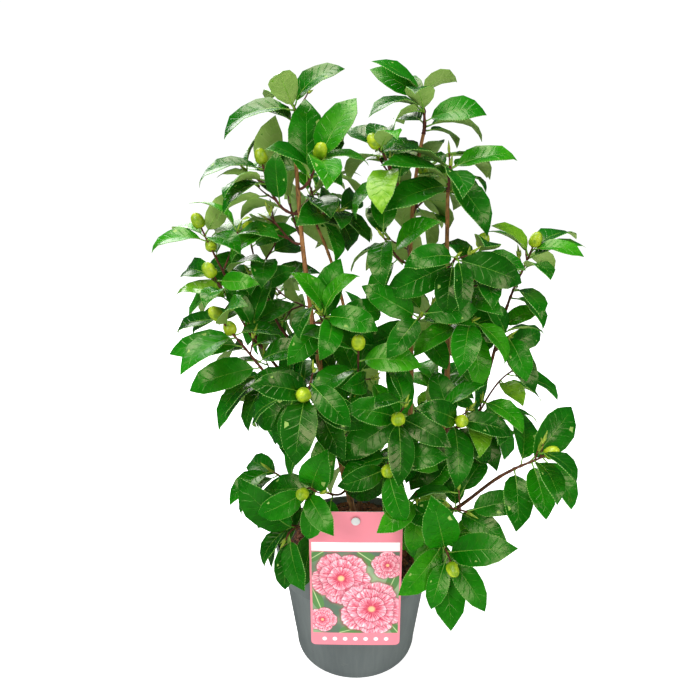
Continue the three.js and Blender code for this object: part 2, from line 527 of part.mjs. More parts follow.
/** One leaf of a twig by the rule, turned on a little where it would touch, or skipped. */
function growLeaf(mass, twig, index, firstTurn, taken) {
  const { dice } = mass;
  const order = (index + LEAF.first) / twig.leaves;
  const share = mix(twig.bare, 1, 1 - (1 - order) ** LEAF.crowding);
  const { root, axis } = seatOn(twig, share);
  const [first, second] = across(axis);
  const spread = radians(dice.between(...LEAF.spread) - LEAF.spreadCloses * share);
  const play = dice.between(-LEAF.turnPlay, LEAF.turnPlay);
  const roll = radians(dice.between(-LEAF.rollPlay, LEAF.rollPlay));
  const length = mass.leafLength * dice.between(...LEAF.length) * (1 - LEAF.shrinks * order);
  const curl = dice.between(...LEAF.curl);
  const sag = mass.droop * dice.between(...LEAF.sag);
  for (const retry of LEAF.retries) {
    const turn = radians(firstTurn + index * LEAF.turn + play + retry);
    const heading = axis.clone().multiplyScalar(Math.cos(spread))
      .addScaledVector(first, Math.sin(spread) * Math.cos(turn))
      .addScaledVector(second, Math.sin(spread) * Math.sin(turn))
      .addScaledVector(UP, -sag).normalize();
    const level = axis.clone().multiplyScalar(LEAF.faceAlong).addScaledVector(UP, LEAF.faceUp)
      .addScaledVector(FORWARD, -LEAF.faceFront);
    level.addScaledVector(heading, -level.dot(heading)).normalize();
    const upper = level.clone().multiplyScalar(Math.cos(roll))
      .addScaledVector(new THREE.Vector3().crossVectors(heading, level), Math.sin(roll));
    const leaf = placedLeaf(mass, root, heading, upper, length, curl, taken);
    if (leaf) return leaf;
  }
  return null;
}

/** Adds a grown leaf to its mass, if there is one. */
function keep(leaf, mass, taken) {
  if (!leaf) return;
  mass.solids.push(leaf);
  taken.push(leaf);
}

function growLeaves(mass, taken) {
  for (const twig of mass.twigs) {
    const firstTurn = mass.dice.between(0, 360);
    for (let k = 0; k < twig.leaves; k += 1) {
      keep(growLeaf(mass, twig, k, firstTurn, taken), mass, taken);
    }
  }
}

// ---------------------------------------------------------------- solids and meshes
function solidOf({ points, faces }) {
  return new wasm.Manifold(new wasm.Mesh({
    numProp: 3,
    vertProperties: new Float32Array(points.flatMap((point) => point.toArray())),
    triVerts: new Uint32Array(faces.flat()),
  }));
}

function solidOfGeometry(geometry) {
  const bare = geometry.clone();
  bare.deleteAttribute('normal');
  bare.deleteAttribute('uv');
  const merged = mergeVertices(bare, WELD);
  return new wasm.Manifold(new wasm.Mesh({
    numProp: 3,
    vertProperties: new Float32Array(merged.attributes.position.array),
    triVerts: new Uint32Array(merged.index.array),
  }));
}

function geometryOf(solid) {
  const { vertProperties, triVerts } = solid.getMesh();
  const geometry = new THREE.BufferGeometry();
  geometry.setAttribute('position', new THREE.BufferAttribute(vertProperties, 3));
  geometry.setIndex(new THREE.BufferAttribute(triVerts, 1));
  return geometry;
}

/** Twigs, leaves and buds of a mass as one body: sealed pockets filled, loose scraps dropped. */
function fused(solids) {
  const pieces = wasm.Manifold.union(solids.map(solidOf)).decompose();
  const whole = pieces.reduce((best, piece) => (piece.volume() > best.volume() ? piece : best));
  return whole.simplify(FUSE_TOLERANCE);
}

// ---------------------------------------------------------------- pot, soil and label
/** Ring-shaped or full solid turned about the Z axis from (radius, height) points. */
function turned(profile) {
  const outline = profile.map(([radius, height]) => new THREE.Vector2(radius, height));
  return new THREE.LatheGeometry(outline, POT.sides).rotateX(Math.PI / 2);
}

const lipHeight = POT.height - POT.collarHeight;
/** Outer radius of the pot's lower wall at a height. */
const wallRadius = (height) => mix(POT.footRadius, POT.shoulderRadius, height / lipHeight);

function pot() {
  const { wall, floor, footBevel, height } = POT;
  return turned([
    [0, 0], [POT.footRadius - footBevel, 0], [wallRadius(footBevel), footBevel],
    [POT.shoulderRadius, lipHeight], [POT.lipRadius, lipHeight],
    [POT.rimRadius, height - wall], [POT.rimRadius - 0.5 * wall, height],
    [POT.rimRadius - 1.5 * wall, height],
    [POT.lipRadius - wall, lipHeight + 2 * wall], [POT.shoulderRadius - wall, lipHeight + wall],
    [wallRadius(floor) - wall, floor], [0, floor],
  ]);
}

function soil(slot) {
  const { wall, floor } = POT;
  const gap = wall + 2 * CLEAR;
  const body = solidOfGeometry(turned([
    [0, floor + CLEAR], [wallRadius(floor) - gap, floor + CLEAR],
    [POT.shoulderRadius - gap, lipHeight + wall], [POT.lipRadius - gap - SOIL.draft, lipHeight + 3 * wall],
    [POT.lipRadius - gap, SOIL.height - SOIL.edgeDrop], [SOIL.plateau, SOIL.height], [0, SOIL.height],
  ]));
  return geometryOf(body.subtract(slot));
}

/** Box of a leaning strip, grown by a margin all round. */
function strip({ width, thickness, footZ, footY, headZ, headY }, margin) {
  const length = Math.hypot(headZ - footZ, headY - footY);
  const geometry = new THREE.BoxGeometry(width + 2 * margin, thickness + 2 * margin, length + 2 * margin);
  geometry.rotateX(-Math.atan2(headY - footY, headZ - footZ));
  return geometry.translate(0, (footY + headY) / 2, (footZ + headZ) / 2);
}

const holeHeight = CARD.bottom + CARD.height - CARD.holeDrop;

/** Stake stuck in the soil, with the peg that the card hangs on. */
function stake() {
  const pegMiddle = CARD.front - PEG.proud + PEG.length / 2;
  const headMiddle = CARD.front - PEG.headGap - PEG.headDepth / 2;
  const peg = new THREE.CylinderGeometry(PEG.radius, PEG.radius, PEG.length, PEG.sides);
  const head = new THREE.CylinderGeometry(PEG.headRadius, PEG.headRadius, PEG.headDepth, PEG.sides);
  return geometryOf(solidOfGeometry(strip(STAKE, 0))
    .add(solidOfGeometry(peg.translate(0, pegMiddle, holeHeight)))
    .add(solidOfGeometry(head.translate(0, headMiddle, holeHeight))));
}

/** Flat card with round corners and the hole for its peg. */
function card() {
  const { width, height, corner, thickness, front, bottom, holeRadius, arcSteps } = CARD;
  const x = width / 2 - corner;
  const outline = new THREE.Shape();
  outline.absarc(x, corner, corner, -Math.PI / 2, 0);
  outline.absarc(x, height - corner, corner, 0, Math.PI / 2);
  outline.absarc(-x, height - corner, corner, Math.PI / 2, Math.PI);
  outline.absarc(-x, corner, corner, Math.PI, 1.5 * Math.PI);
  outline.holes.push(new THREE.Path().absarc(0, height - CARD.holeDrop, holeRadius, 0, 2 * Math.PI, true));
  const raised = { depth: thickness, bevelEnabled: false, curveSegments: arcSteps };
  const sheet = new THREE.ExtrudeGeometry(outline, raised).rotateX(Math.PI / 2);
  return geometryOf(solidOfGeometry(sheet.translate(0, front + thickness, bottom)));
}

// ---------------------------------------------------------------- the whole part
const group = new THREE.Group();
function add(name, geometry, material) {
  const mesh = new THREE.Mesh(geometry, material);
  mesh.name = name;
  group.add(mesh);
}

add('pot', pot(), FINISH.pot);
add('soil', soil(solidOfGeometry(strip(STAKE, CLEAR))), FINISH.soil);
add('label_card', card(), FINISH.card);
add('label_stake', stake(), FINISH.stake);

/** Room of the pot and its soil, which leaves keep out of. */
function potGuard() {
  const path = [new THREE.Vector3(), new THREE.Vector3(0, 0, POT.height + GUARD.potTop)];
  const radii = [POT.footRadius + GUARD.potFoot, POT.rimRadius + GUARD.pot];
  return placed(limbForm(path, radii, GUARD.potSides, UP));
}

/** Room of the label card and its peg, which leaves keep out of. */
function cardGuard() {
  const { width, height, front, bottom } = CARD;
  const low = vec([-width / 2 - GUARD.card, front - GUARD.cardFace, bottom - GUARD.card]);
  const high = vec([width / 2 + GUARD.card, front + GUARD.cardFace, bottom + height + GUARD.card]);
  const points = [0, 1, 2, 3, 4, 5, 6, 7].map((k) => vec([
    (k & 1 ? high : low).x, (k & 2 ? high : low).y, (k & 4 ? high : low).z,
  ]));
  const faces = [
    [0, 2, 3], [0, 3, 1], [4, 5, 7], [4, 7, 6], [0, 1, 5], [0, 5, 4],
    [2, 6, 7], [2, 7, 3], [0, 4, 6], [0, 6, 2], [1, 3, 7], [1, 7, 5],
  ];
  return placed({ points, faces });
}

const limbs = {};
for (const [name, stem] of Object.entries(STEMS)) limbs[name] = growStem(stem);
for (const [name, bough] of Object.entries(BOUGHS)) limbs[name] = growBough(bough, limbs);
for (const [name, { form }] of Object.entries(limbs)) {
  const kind = name in STEMS ? 'stem' : 'bough';
  add(`${kind}_${name}`, geometryOf(solidOf(form)), FINISH[kind]);
}

const taken = [potGuard(), cardGuard(), ...Object.values(limbs).map(({ form }) => placed(form))];
const masses = MASSES.map((row) => {
  const mass = growTwigs(row, limbs, taken);
  taken.push(...mass.solids);
  return mass;
});
for (const row of SET_LEAVES) {
  const mass = masses.find(({ name }) => name === row[0]);
  keep(setLeaf(mass, row, taken), mass, taken);
}
for (const mass of masses) growLeaves(mass, taken);
for (const mass of masses) add(`foliage_${mass.name}`, geometryOf(fused(mass.solids)), FINISH.leaf);

export default group;
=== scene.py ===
"""Camellia shrub in its nursery pot: the looks, grown by the same rule as the solids.

Lengths are in millimetres until a mesh is made; +Z is up and -Y is the front."""

import bpy
import numpy as np
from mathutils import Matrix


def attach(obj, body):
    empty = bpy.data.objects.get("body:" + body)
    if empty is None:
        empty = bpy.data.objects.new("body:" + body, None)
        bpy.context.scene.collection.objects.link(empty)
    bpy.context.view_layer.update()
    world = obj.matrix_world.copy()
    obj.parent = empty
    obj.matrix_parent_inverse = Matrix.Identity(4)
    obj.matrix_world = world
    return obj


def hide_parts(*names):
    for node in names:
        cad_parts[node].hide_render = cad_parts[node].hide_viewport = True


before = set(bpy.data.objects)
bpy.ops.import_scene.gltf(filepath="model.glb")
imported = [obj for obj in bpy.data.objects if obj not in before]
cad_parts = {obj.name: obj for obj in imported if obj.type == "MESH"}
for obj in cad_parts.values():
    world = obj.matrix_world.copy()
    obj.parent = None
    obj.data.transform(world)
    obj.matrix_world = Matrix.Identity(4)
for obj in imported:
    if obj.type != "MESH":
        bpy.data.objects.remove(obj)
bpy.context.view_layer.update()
FOLIAGE_NODES = sorted(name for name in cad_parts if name.startswith("foliage_"))
MM = 0.001                      # metres
METRE = 1000.0                  # millimetres
SCATTER_SEED = 11               # of every draw that only the looks make

# ---------------------------------------------------------------- driving dimensions
CLEAR = 0.3                     # gap between pieces that meet
BEND_HANDLE = 0.33              # how far a bend keeps its end headings, as a share of its span
UP = np.array([0.0, 0.0, 1.0])
FORWARD = np.array([0.0, 1.0, 0.0])

POT = dict(height=143, rim=95, collar=28.5, lip=94, shoulder=86.5, foot=71, bevel=3, wall=1.6, floor=2.2)
SOIL = dict(height=138, edge_drop=5, plateau=56)
CARD = dict(width=95, height=163, thickness=0.8, corner=5, bottom=73.5, front=-97.6, hole_drop=10)
STAKE = dict(width=9, thickness=1.4, foot=(98, -74), head=(232, -94.5))
PEG = dict(radius=2.6, length=9, seat=0.9, head_radius=4.5, head_slope=1.4, softness=0.4, sides=28,
           head=(-0.2, -0.1, 0.5, 1.1, 1.2))          # its neck, back, rim, slope and face
GUARD = dict(pot=2, pot_foot=1, pot_top=1, pot_sides=24, card=1, card_face=3)   # kept leafless

# Main stems: foot (x, y), tip, headings there, radius at foot and tip.
STEM_SIDES, STEM_STEPS, FLARE = 8, 12, (1.5, 1.05)
STEMS = {
    "left": dict(foot=(8, -6), tip=(-60, -6, 580), lean=(-0.25, -0.1, 1), end=(-0.02, 0, 1), radii=(3.6, 2)),
    "middle": dict(foot=(32, 16), tip=(66, 4, 600), lean=(0.45, 0, 1), end=(0.2, -0.1, 1), radii=(3.4, 1.7)),
    "right": dict(foot=(46, -8), tip=(91, -6, 545), lean=(0.75, 0, 1), end=(0, 0, 1), radii=(4.0, 1.9)),
    "back": dict(foot=(6, 34), tip=(-42, 30, 505), lean=(-0.05, 0, 1), end=(-0.45, 0, 1), radii=(3.0, 1.5)),
}

# Boughs: the stem each grows on and at what height, tip, heading there, radius at foot and tip.
BOUGH_SIDES, BOUGH_STEPS = 6, 9
BOUGHS = {
    "upper_right": dict(on="right", at=285, tip=(163, 10, 425), end=(0.3, 0, 1), radii=(2.2, 1.5)),
    "far_right": dict(on="right", at=190, tip=(158, -74, 271), end=(0.75, -0.3, 0.6), radii=(2.3, 1.6)),
    "left_low": dict(on="left", at=285, tip=(-93, -40, 362), end=(-0.6, -0.05, 0.8), radii=(2.0, 1.5)),
    "left_high": dict(on="back", at=300, tip=(-121, 10, 412), end=(-0.35, 0, 1), radii=(2.1, 1.5)),
    "left_rear": dict(on="back", at=345, tip=(-95, 34, 412), end=(-0.3, 0, 1), radii=(1.9, 1.4)),
}

# Masses of foliage: limb, height on it (0 = on from its tip), tip of the main twig, leaves on it,
# side twigs, seed, flower buds, leaf length, droop of the leaves, heading at the tip.
MASSES = [
    ("left_crown", "left", 0, (-64, -4, 628), 4, 0, 1, 1, 66, 0.0, (-0.6, -0.2, 0.8)),
    ("left_crown_out", "left", 522, (-92, -14, 571), 3, 0, 2, 1, 64, 0.3, (-0.1, 0, 1)),
    ("left_crown_in", "left", 546, (-36, -30, 577), 3, 0, 3, 1, 66, 0.0, (0.2, -0.7, 0.6)),
    ("left_crown_back", "left", 500, (-78, 62, 556), 6, 1, 4, 1, 62, 0.3, (-0.1, 0.4, 1)),
    ("left_side", "left", 492, (-92, 4, 516), 4, 0, 5, 0, 66, 0.3, (-0.9, 0, 0.3)),
    ("middle_crown", "middle", 0, (64, 0, 632), 4, 0, 6, 0, 66, 0.0, (0, 0, 1)),
    ("middle_crown_in", "middle", 540, (20, -12, 586), 7, 1, 7, 1, 64, 0.3, (-0.6, 0, 0.6)),
    ("middle_crown_back", "middle", 520, (72, 66, 562), 6, 1, 8, 1, 62, 0.2, (0.1, 0.4, 1)),
    ("middle_side", "middle", 470, (26, -10, 500), 5, 0, 9, 0, 62, 0.4, (-0.6, -0.2, 0.6)),
    ("right_crown", "right", 0, (92, -6, 568), 6, 0, 10, 0, 70, 0.5, (0, 0, 1)),
    ("right_crown_out", "right", 437, (126, -12, 490), 5, 0, 11, 1, 66, 0.3, (0.3, -0.1, 1)),
    ("right_front", "right", 470, (96, -50, 486), 6, 0, 12, 0, 66, 0.5, (0.1, -0.7, 0.4)),
    ("back_crown", "back", 0, (-33, 24, 526), 7, 1, 13, 1, 62, 0.3, (0.1, 0, 1)),
    ("upper_right_top", "upper_right", 0, (184, 6, 489), 4, 0, 14, 1, 60, 0.1, (0.3, 0, 1)),
    ("upper_right_mid", "upper_right", 375, (158, -22, 398), 5, 0, 15, 0, 56, 0.3, (0.6, -0.4, 0.4)),
    ("far_right_end", "far_right", 0, (188, -85, 294), 3, 0, 16, 1, 68, 0.1, (0.8, 0, 0.5)),
    ("far_right_mid", "far_right", 215, (112, -96, 236), 3, 0, 17, 0, 60, 0.4, (0.6, -0.6, 0)),
    ("left_low_tip", "left_low", 0, (-137, -42, 422), 5, 0, 18, 2, 68, 0.3, (-0.6, 0, 0.8)),
    ("left_high_tip", "left_high", 0, (-163, 10, 508), 5, 1, 19, 2, 60, 0.3, (-0.4, 0, 1)),
    ("left_high_front", "left_high", 380, (-146, -22, 462), 4, 0, 20, 1, 62, 0.3, (-0.5, -0.3, 0.8)),
    ("left_rear_tip", "left_rear", 0, (-117, 34, 502), 7, 1, 21, 1, 60, 0.3, (-0.1, 0, 1)),
    ("centre_front", "back", 330, (2, -60, 398), 7, 0, 22, 1, 66, 0.2, (0, -0.3, 1)),
    ("front_left", "left", 320, (-48, -106, 365), 8, 0, 23, 1, 68, 0.3, (0, -1, 0.1)),
    ("front_middle", "middle", 280, (40, -98, 338), 8, 0, 24, 1, 66, 0.3, (0, -1, 0.1)),
    ("front_right", "right", 285, (102, -80, 328), 7, 0, 25, 1, 66, 0.3, (0.2, -1, 0.1)),
    ("front_low", "middle", 230, (31, -104, 287), 7, 0, 26, 1, 62, 0.4, (0, -1, 0)),
    ("low_left", "left", 215, (-51, -98, 258), 8, 0, 27, 1, 64, 0.3, (-0.1, -0.9, 0)),
    ("low_left_hang", "left", 175, (-72, -92, 200), 2, 0, 28, 0, 62, 0.6, (-0.2, -0.9, -0.4)),
    ("low_right_hang", "right", 178, (94, -120, 192), 5, 0, 29, 1, 68, 0.5, (0.1, -0.9, -0.5)),
    ("low_right_front", "right", 200, (60, -96, 250), 5, 0, 30, 0, 62, 0.4, (-0.1, -0.9, -0.2)),
    ("right_low_out", "right", 300, (140, -40, 316), 6, 0, 31, 0, 64, 0.3, (0.8, -0.4, 0)),
    ("right_mid_out", "right", 256, (178, 18, 348), 4, 0, 32, 1, 54, 0.2, (0.8, 0, 0.4)),
    ("right_inner", "right", 400, (116, -40, 420), 6, 0, 33, 0, 64, 0.4, (0.6, -0.6, 0.3)),
    ("left_mid_out", "left", 330, (-104, -20, 352), 6, 0, 34, 0, 66, 0.3, (-0.8, -0.1, 0)),
    ("low_left_out", "left", 190, (-94, -36, 250), 5, 1, 35, 0, 62, 0.2, (-0.8, -0.1, 0.5)),
    ("middle_front", "middle", 400, (64, -46, 428), 6, 0, 36, 0, 62, 0.4, (0.1, -0.8, 0.4)),
    ("inner_left", "left", 410, (-24, -46, 424), 6, 0, 37, 0, 62, 0.3, (0.4, -0.6, 0.5)),
    ("inner_back", "back", 322, (-26, 2, 350), 5, 0, 38, 0, 62, 0.2, (-0.2, -0.5, 0.8)),
    ("back_left_low", "back", 250, (-76, 110, 300), 8, 1, 39, 1, 66, 0.3, (-0.5, 0.8, 0.3)),
    ("back_right_low", "middle", 230, (110, 115, 290), 8, 1, 40, 1, 66, 0.3, (0.4, 0.8, 0.3)),
    ("back_middle", "back", 350, (14, 120, 372), 8, 1, 41, 1, 66, 0.3, (0.1, 0.9, 0.4)),
    ("back_right_mid", "middle", 380, (122, 95, 415), 8, 1, 42, 1, 66, 0.3, (0.5, 0.7, 0.5)),
    ("back_left_mid", "back", 410, (-104, 105, 430), 7, 1, 43, 1, 62, 0.3, (-0.5, 0.7, 0.5)),
    ("back_low", "back", 190, (20, 118, 225), 7, 1, 44, 0, 66, 0.4, (0, 0.9, 0.2)),
    ("back_high", "middle", 470, (56, 88, 515), 7, 0, 45, 1, 62, 0.3, (-0.1, 0.6, 0.8)),
]

# Eye point in front of the plant that the tips below are sighted from, looking down and to one side
# by degrees. A sighting counts steps right and down on a plane that is `reach` steps away.
SIGHT = dict(y=-630, z=567, pitch=16.83, yaw=0.62, reach=605, middle=350)

# Leaves set one by one, which grow before the rule's own: mass, place on its main twig, tip of the
# leaf (sighted right, sighted down, its y), way its upper face looks, curl.
SET_LEAVES = [
    ("left_crown", 0.86, (345, 66, -12), (-0.4, -0.8, 0.7), 1.2),
    ("left_crown", 0.8, (219, 137, -12), (-0.2, -0.6, 1), 1.1),
    ("left_crown", 0.85, (266, 96, 45), (-0.3, 0.3, 0.9), 0.9),
    ("left_crown_in", 0.3, (306, 95, -6), (0.15, -1, 0.25), 0.3),
    ("left_crown_in", 0.8, (356, 95, 0), (-0.3, -0.9, 0.3), 0.4),
    ("left_crown_in", 0.85, (371, 163, -10), (0.1, -0.4, 1), 0.9),
    ("left_crown_in", 0.7, (342, 184, -62), (0.1, -0.8, 0.6), 0.7),
    ("left_crown_in", 0.5, (363, 194, 20), (0.2, -0.1, 1), 0.9),
    ("left_crown_out", 0.8, (275, 116, 14), (-0.3, 0.9, 0.1), 0.5),
    ("left_crown_out", 0.9, (193, 182, -20), (0, -0.35, 1), 1),
    ("left_crown_out", 0.7, (221, 213, -40), (-0.4, -0.5, 0.8), 1.1),
    ("left_crown_out", 0.35, (275, 150, -30), (-0.2, -1, 0.1), 0.4),
    ("left_crown_out", 0.2, (238, 214, 16), (0, 0.3, 1), 0.9),
    ("middle_crown", 0.93, (370, 67, 0), (0.1, -1, 0.4), 0.4),
    ("middle_crown", 0.6, (366, 115, -18), (0, -0.3, 1), 1.2),
    ("middle_crown", 0.6, (388, 134, -34), (-0.7, 0, 0.7), 1),
    ("middle_crown", 0.9, (461, 78, 6), (-0.5, 0.6, 0.6), 2),
    ("middle_crown", 0.04, (461, 145, 30), (0, -0.3, 1), 0.8),
    ("middle_crown", 0.3, (490, 111, -12), (0, -0.8, 0.6), 0.9),
    ("middle_crown", 0.15, (487, 136, 14), (0, 0, 1), 0.9),
    ("right_crown", 0.6, (492, 233, -44), (0.3, -1, 0.4), 0.5),
    ("right_crown", 0.9, (490, 174, 30), (0, 0, 1), 1.1),
    ("right_crown", 0.8, (381, 150, -20), (0, -0.2, 1), 0.8),
    ("right_crown", 0.3, (381, 162, -42), (0, -0.4, 0.9), 0.7),
    ("right_crown_out", 0.85, (527, 269, -40), (0, -0.8, 0.7), 0.5),
    ("right_crown_out", 0.15, (503, 312, -54), (0.1, -0.9, 0.5), 0.5),
    ("upper_right_top", 0.93, (585, 256, -20), (0, -0.5, 0.9), 0.8),
    ("upper_right_top", 0.88, (578, 235, 36), (0, -0.1, 1), 1.1),
    ("upper_right_top", 0.6, (553, 277, -46), (0.2, -0.4, 0.9), 1),
    ("upper_right_top", 0.82, (492, 223, 0), (0.4, -0.5, 0.7), 1),
    ("upper_right_top", 0.12, (547, 328, -30), (0.3, -0.3, 0.9), 1),
    ("right_mid_out", 0.93, (563, 400, 0), (0, -0.2, 1), 1),
    ("right_mid_out", 0.85, (524, 404, -36), (0, -0.7, 0.7), 0.6),
    ("right_mid_out", 0.5, (541, 417, 30), (0, 0, 1), 0.6),
    ("right_low_out", 0.5, (499, 471, -66), (0.3, -0.8, 0.6), 0.6),
    ("far_right_end", 0.55, (575, 405, -36), (-0.2, -1, 0.2), 0.3),
    ("far_right_end", 0.9, (577, 511, -112), (0.5, -1, 0.5), 0.7),
    ("far_right_end", 0.6, (548, 520, -128), (0, -1, 0.4), 0.6),
    ("far_right_end", 0.1, (518, 532, -126), (0, -1, 0.4), 0.5),
    ("far_right_mid", 0.6, (507, 541, -124), (0.2, -1, 0.5), 0.6),
    ("low_right_hang", 0.74, (452, 633, -138), (0, -1, 0.5), 0.4),
    ("low_right_hang", 0.85, (488, 613, -140), (0.3, -1, 0.4), 0.4),
    ("low_right_hang", 0.85, (518, 548, -142), (0.2, -0.8, 0.7), 0.6),
    ("low_right_hang", 0.8, (432, 499, -126), (0, -1, 0.3), 0.5),
    ("low_right_hang", 0.88, (430, 612, -136), (-0.3, -1, 0.4), 0.5),
    ("left_low_tip", 0.5, (167, 352, -52), (-0.1, -0.7, 0.8), 0.8),
    ("left_low_tip", 0.12, (187, 390, -56), (-0.2, -0.8, 0.6), 0.8),
    ("left_low_tip", 0.7, (287, 336, -24), (0, -0.3, 1), 0.9),
    ("left_mid_out", 0.85, (216, 431, -46), (-0.5, -0.4, 0.8), 1.1),
    ("left_high_tip", 0.88, (172, 229, 40), (0, -0.2, 1), 0.9),
    ("left_high_tip", 0.9, (226, 192, 24), (0.3, 0.5, 0.6), 0.8),
    ("left_high_tip", 0.85, (242, 250, -28), (0, -0.4, 1), 0.9),
    ("left_high_front", 0.93, (258, 283, -44), (0, -1, 0.4), 0.5),
    ("left_high_front", 0.8, (203, 303, -68), (-0.2, -1, 0.4), 0.9),
    ("left_high_front", 0.7, (173, 290, -20), (-0.2, -0.3, 1), 1),
    ("left_rear_tip", 0.35, (294, 268, 4), (0, -1, 0.2), 0.4),
    ("left_rear_tip", 0.8, (298, 228, 14), (0, -0.8, 0.6), 0.7),
    ("low_left_hang", 0.93, (284, 592, -112), (-0.1, -1, 0.3), 0.5),
    ("low_left_hang", 0.8, (236, 479, -82), (-0.3, -1, 0.2), 0.6),
    ("low_left_out", 0.9, (235, 514, -62), (-0.3, -0.2, 1), 0.9),
]

TWIG = dict(sides=3, steps=4, foot_radius=1.5, tip_radius=0.9, on_tip=0.95, inset=2, bare=0.25,
            bare_on_tip=0.05)
FORK = dict(steps=4, foot_radius=1.2, tip_radius=0.8, leaves=5, reach=(38, 55), share=(0.35, 0.7),
            ahead=0.8, lift=0.25, rise=0.4)
# Spurs are the finer growth on twigs: places tried on each, and how far past its mass one may reach.
SPUR = dict(tries=3, share=(0.3, 0.85), nearby=0.02, reach=(16, 30), start=1.8, radii=(0.95, 0.7),
            leaves=4, leaf_share=0.86, beyond=3)
LEAF = dict(first=0.6, crowding=1.4, turn=137.5, turn_play=16, roll_play=30, face_along=0.8, face_up=0.6,
            face_front=0.5, spread=(62, 80), spread_closes=30, length=(0.84, 1.1), shrinks=0.12,
            curl=(0.45, 1.15), sag=(0.5, 1.5), petiole=8, half_width=0.255, half_thickness=0.55,
            sunk=0.4, neck=5, neck_width=0.9, retries=(0, 35, -35, 70, -70), lowest=6)
STATIONS = [(0.3, 0.93, 0.28, True), (0.68, 0.84, 0.0, False)]   # share, breadth, fold, has an underside
BUD = dict(radius=7, half_length=8.5, sides=5, waist=0.45, sink=2.5)
STEEP = dict(twig=0.95, limb=0.9)      # rise past which a way counts as upright
PARALLEL = 1e-9                        # slope below which an edge can't go through a face
DICE = dict(factor=16807, modulus=2147483647, spacing=7919, offset=17, warm_up=3)


# ---------------------------------------------------------------- small helpers
def unit(vector):
    return vector / np.sqrt((vector * vector).sum(-1, keepdims=True))


def mix(low, high, share):
    return low + (high - low) * share


def sighted(right, down, y):
    """Place of a sighted point, to the nearest millimetre: where its line of sight reaches depth y."""
    pitch, yaw = np.radians(SIGHT["pitch"]), np.radians(SIGHT["yaw"])
    aside, rise = (right - SIGHT["middle"]) / SIGHT["reach"], (SIGHT["middle"] - down) / SIGHT["reach"]
    level, up = np.cos(pitch) + rise * np.sin(pitch), rise * np.cos(pitch) - np.sin(pitch)
    line = np.array([aside * np.cos(yaw) - level * np.sin(yaw),
                     aside * np.sin(yaw) + level * np.cos(yaw), up])
    return np.rint(line * (y - SIGHT["y"]) / line[1] + (0, SIGHT["y"], SIGHT["z"]))


def across(axis):
    """Two directions square to an axis."""
    helper = UP if abs(axis[2]) < STEEP["twig"] else np.array([1.0, 0.0, 0.0])
    first = unit(np.cross(axis, helper))
    return first, np.cross(axis, first)


class Dice:
    """Repeatable dice (Park-Miller), one per mass."""

    def __init__(self, seed):
        self.state = seed * DICE["spacing"] + DICE["offset"]
        for _ in range(DICE["warm_up"]):
            self.roll()

    def roll(self):
        self.state = (self.state * DICE["factor"]) % DICE["modulus"]
        return self.state / DICE["modulus"]

    def between(self, low, high):
        return mix(low, high, self.roll())


class Bend:
    """Smooth bend (cubic Bezier) from foot to tip that leaves and arrives on the given headings."""

    def __init__(self, foot, tip, foot_heading, tip_heading, steps):
        foot, tip = np.array(foot, float), np.array(tip, float)
        handle = np.sqrt(((tip - foot) ** 2).sum()) * BEND_HANDLE
        leaving = foot + unit(np.array(foot_heading, float)) * handle
        arriving = tip - unit(np.array(tip_heading, float)) * handle
        self.corners = (foot, leaving, arriving, tip)
        self.leaving = unit(np.array(foot_heading, float))
        self.path = self.at(np.arange(steps + 1) / steps)

    def at(self, share):
        """Points at the given shares of the bend."""
        t = np.asarray(share, float)[..., None]
        a, b, c, d = self.corners
        return (1 - t) ** 3 * a + 3 * (1 - t) ** 2 * t * b + 3 * (1 - t) * t ** 2 * c + t ** 3 * d


def frames(path, leaving):
    """Two directions square to the path at each point, the first heading being the leaving one."""
    along = np.empty_like(path)
    along[1:-1] = path[2:] - path[:-2]
    along[0] = leaving
    along[-1] = path[-1] - path[-2]
    along = unit(along)
    side = np.cross(along[0], UP if abs(along[0][2]) < STEEP["limb"] else FORWARD)
    sides = []
    for heading in along:
        side = unit(side - heading * (side @ heading))
        sides.append(side)
    return np.array(sides), np.cross(along, sides)


def ring_points(path, radii, sides, leaving):
    """Rings round a path: centre(k) + radius(k, a) (side(k) cos a + other(k) sin a).

    radii is one number for each ring, or one for each ring and side."""
    side, other = frames(path, leaving)
    angle = 2 * np.pi * np.arange(sides) / sides
    radii = np.asarray(radii, float)
    radii = radii[:, None] if radii.ndim == 1 else radii
    ring = np.cos(angle)[None, :, None] * side[:, None] + np.sin(angle)[None, :, None] * other[:, None]
    return (path[:, None] + radii[..., None] * ring).reshape(-1, 3)


def path_length(path):
    return np.sqrt((np.diff(path, axis=0) ** 2).sum(1)).sum()


# ---------------------------------------------------------------- coarse solids and their clearance
def ring_faces(rings, sides):
    """Triangles round a stack of rings, with a fan on each end."""
    a = (np.arange(rings - 1)[:, None] * sides + np.arange(sides)).ravel()
    b = (np.arange(rings - 1)[:, None] * sides + (np.arange(sides) + 1) % sides).ravel()
    wall = np.stack([a, b, b + sides, a, b + sides, a + sides], 1).reshape(-1, 3)
    j = np.arange(1, sides - 1)
    top = (rings - 1) * sides
    foot_fan = np.stack([0 * j, j + 1, j], 1)
    top_fan = np.stack([0 * j + top, top + j, top + j + 1], 1)
    return np.concatenate([wall, foot_fan, top_fan])


def edges_of(faces):
    pairs = np.concatenate([faces[:, [0, 1]], faces[:, [1, 2]], faces[:, [2, 0]]])
    return np.unique(np.sort(pairs, 1), axis=0)


def limb_form(path, radii, sides, leaving):
    """A coarse limb: rings square to a path, with triangles between them."""
    return ring_points(path, radii, sides, leaving), ring_faces(len(path), sides)


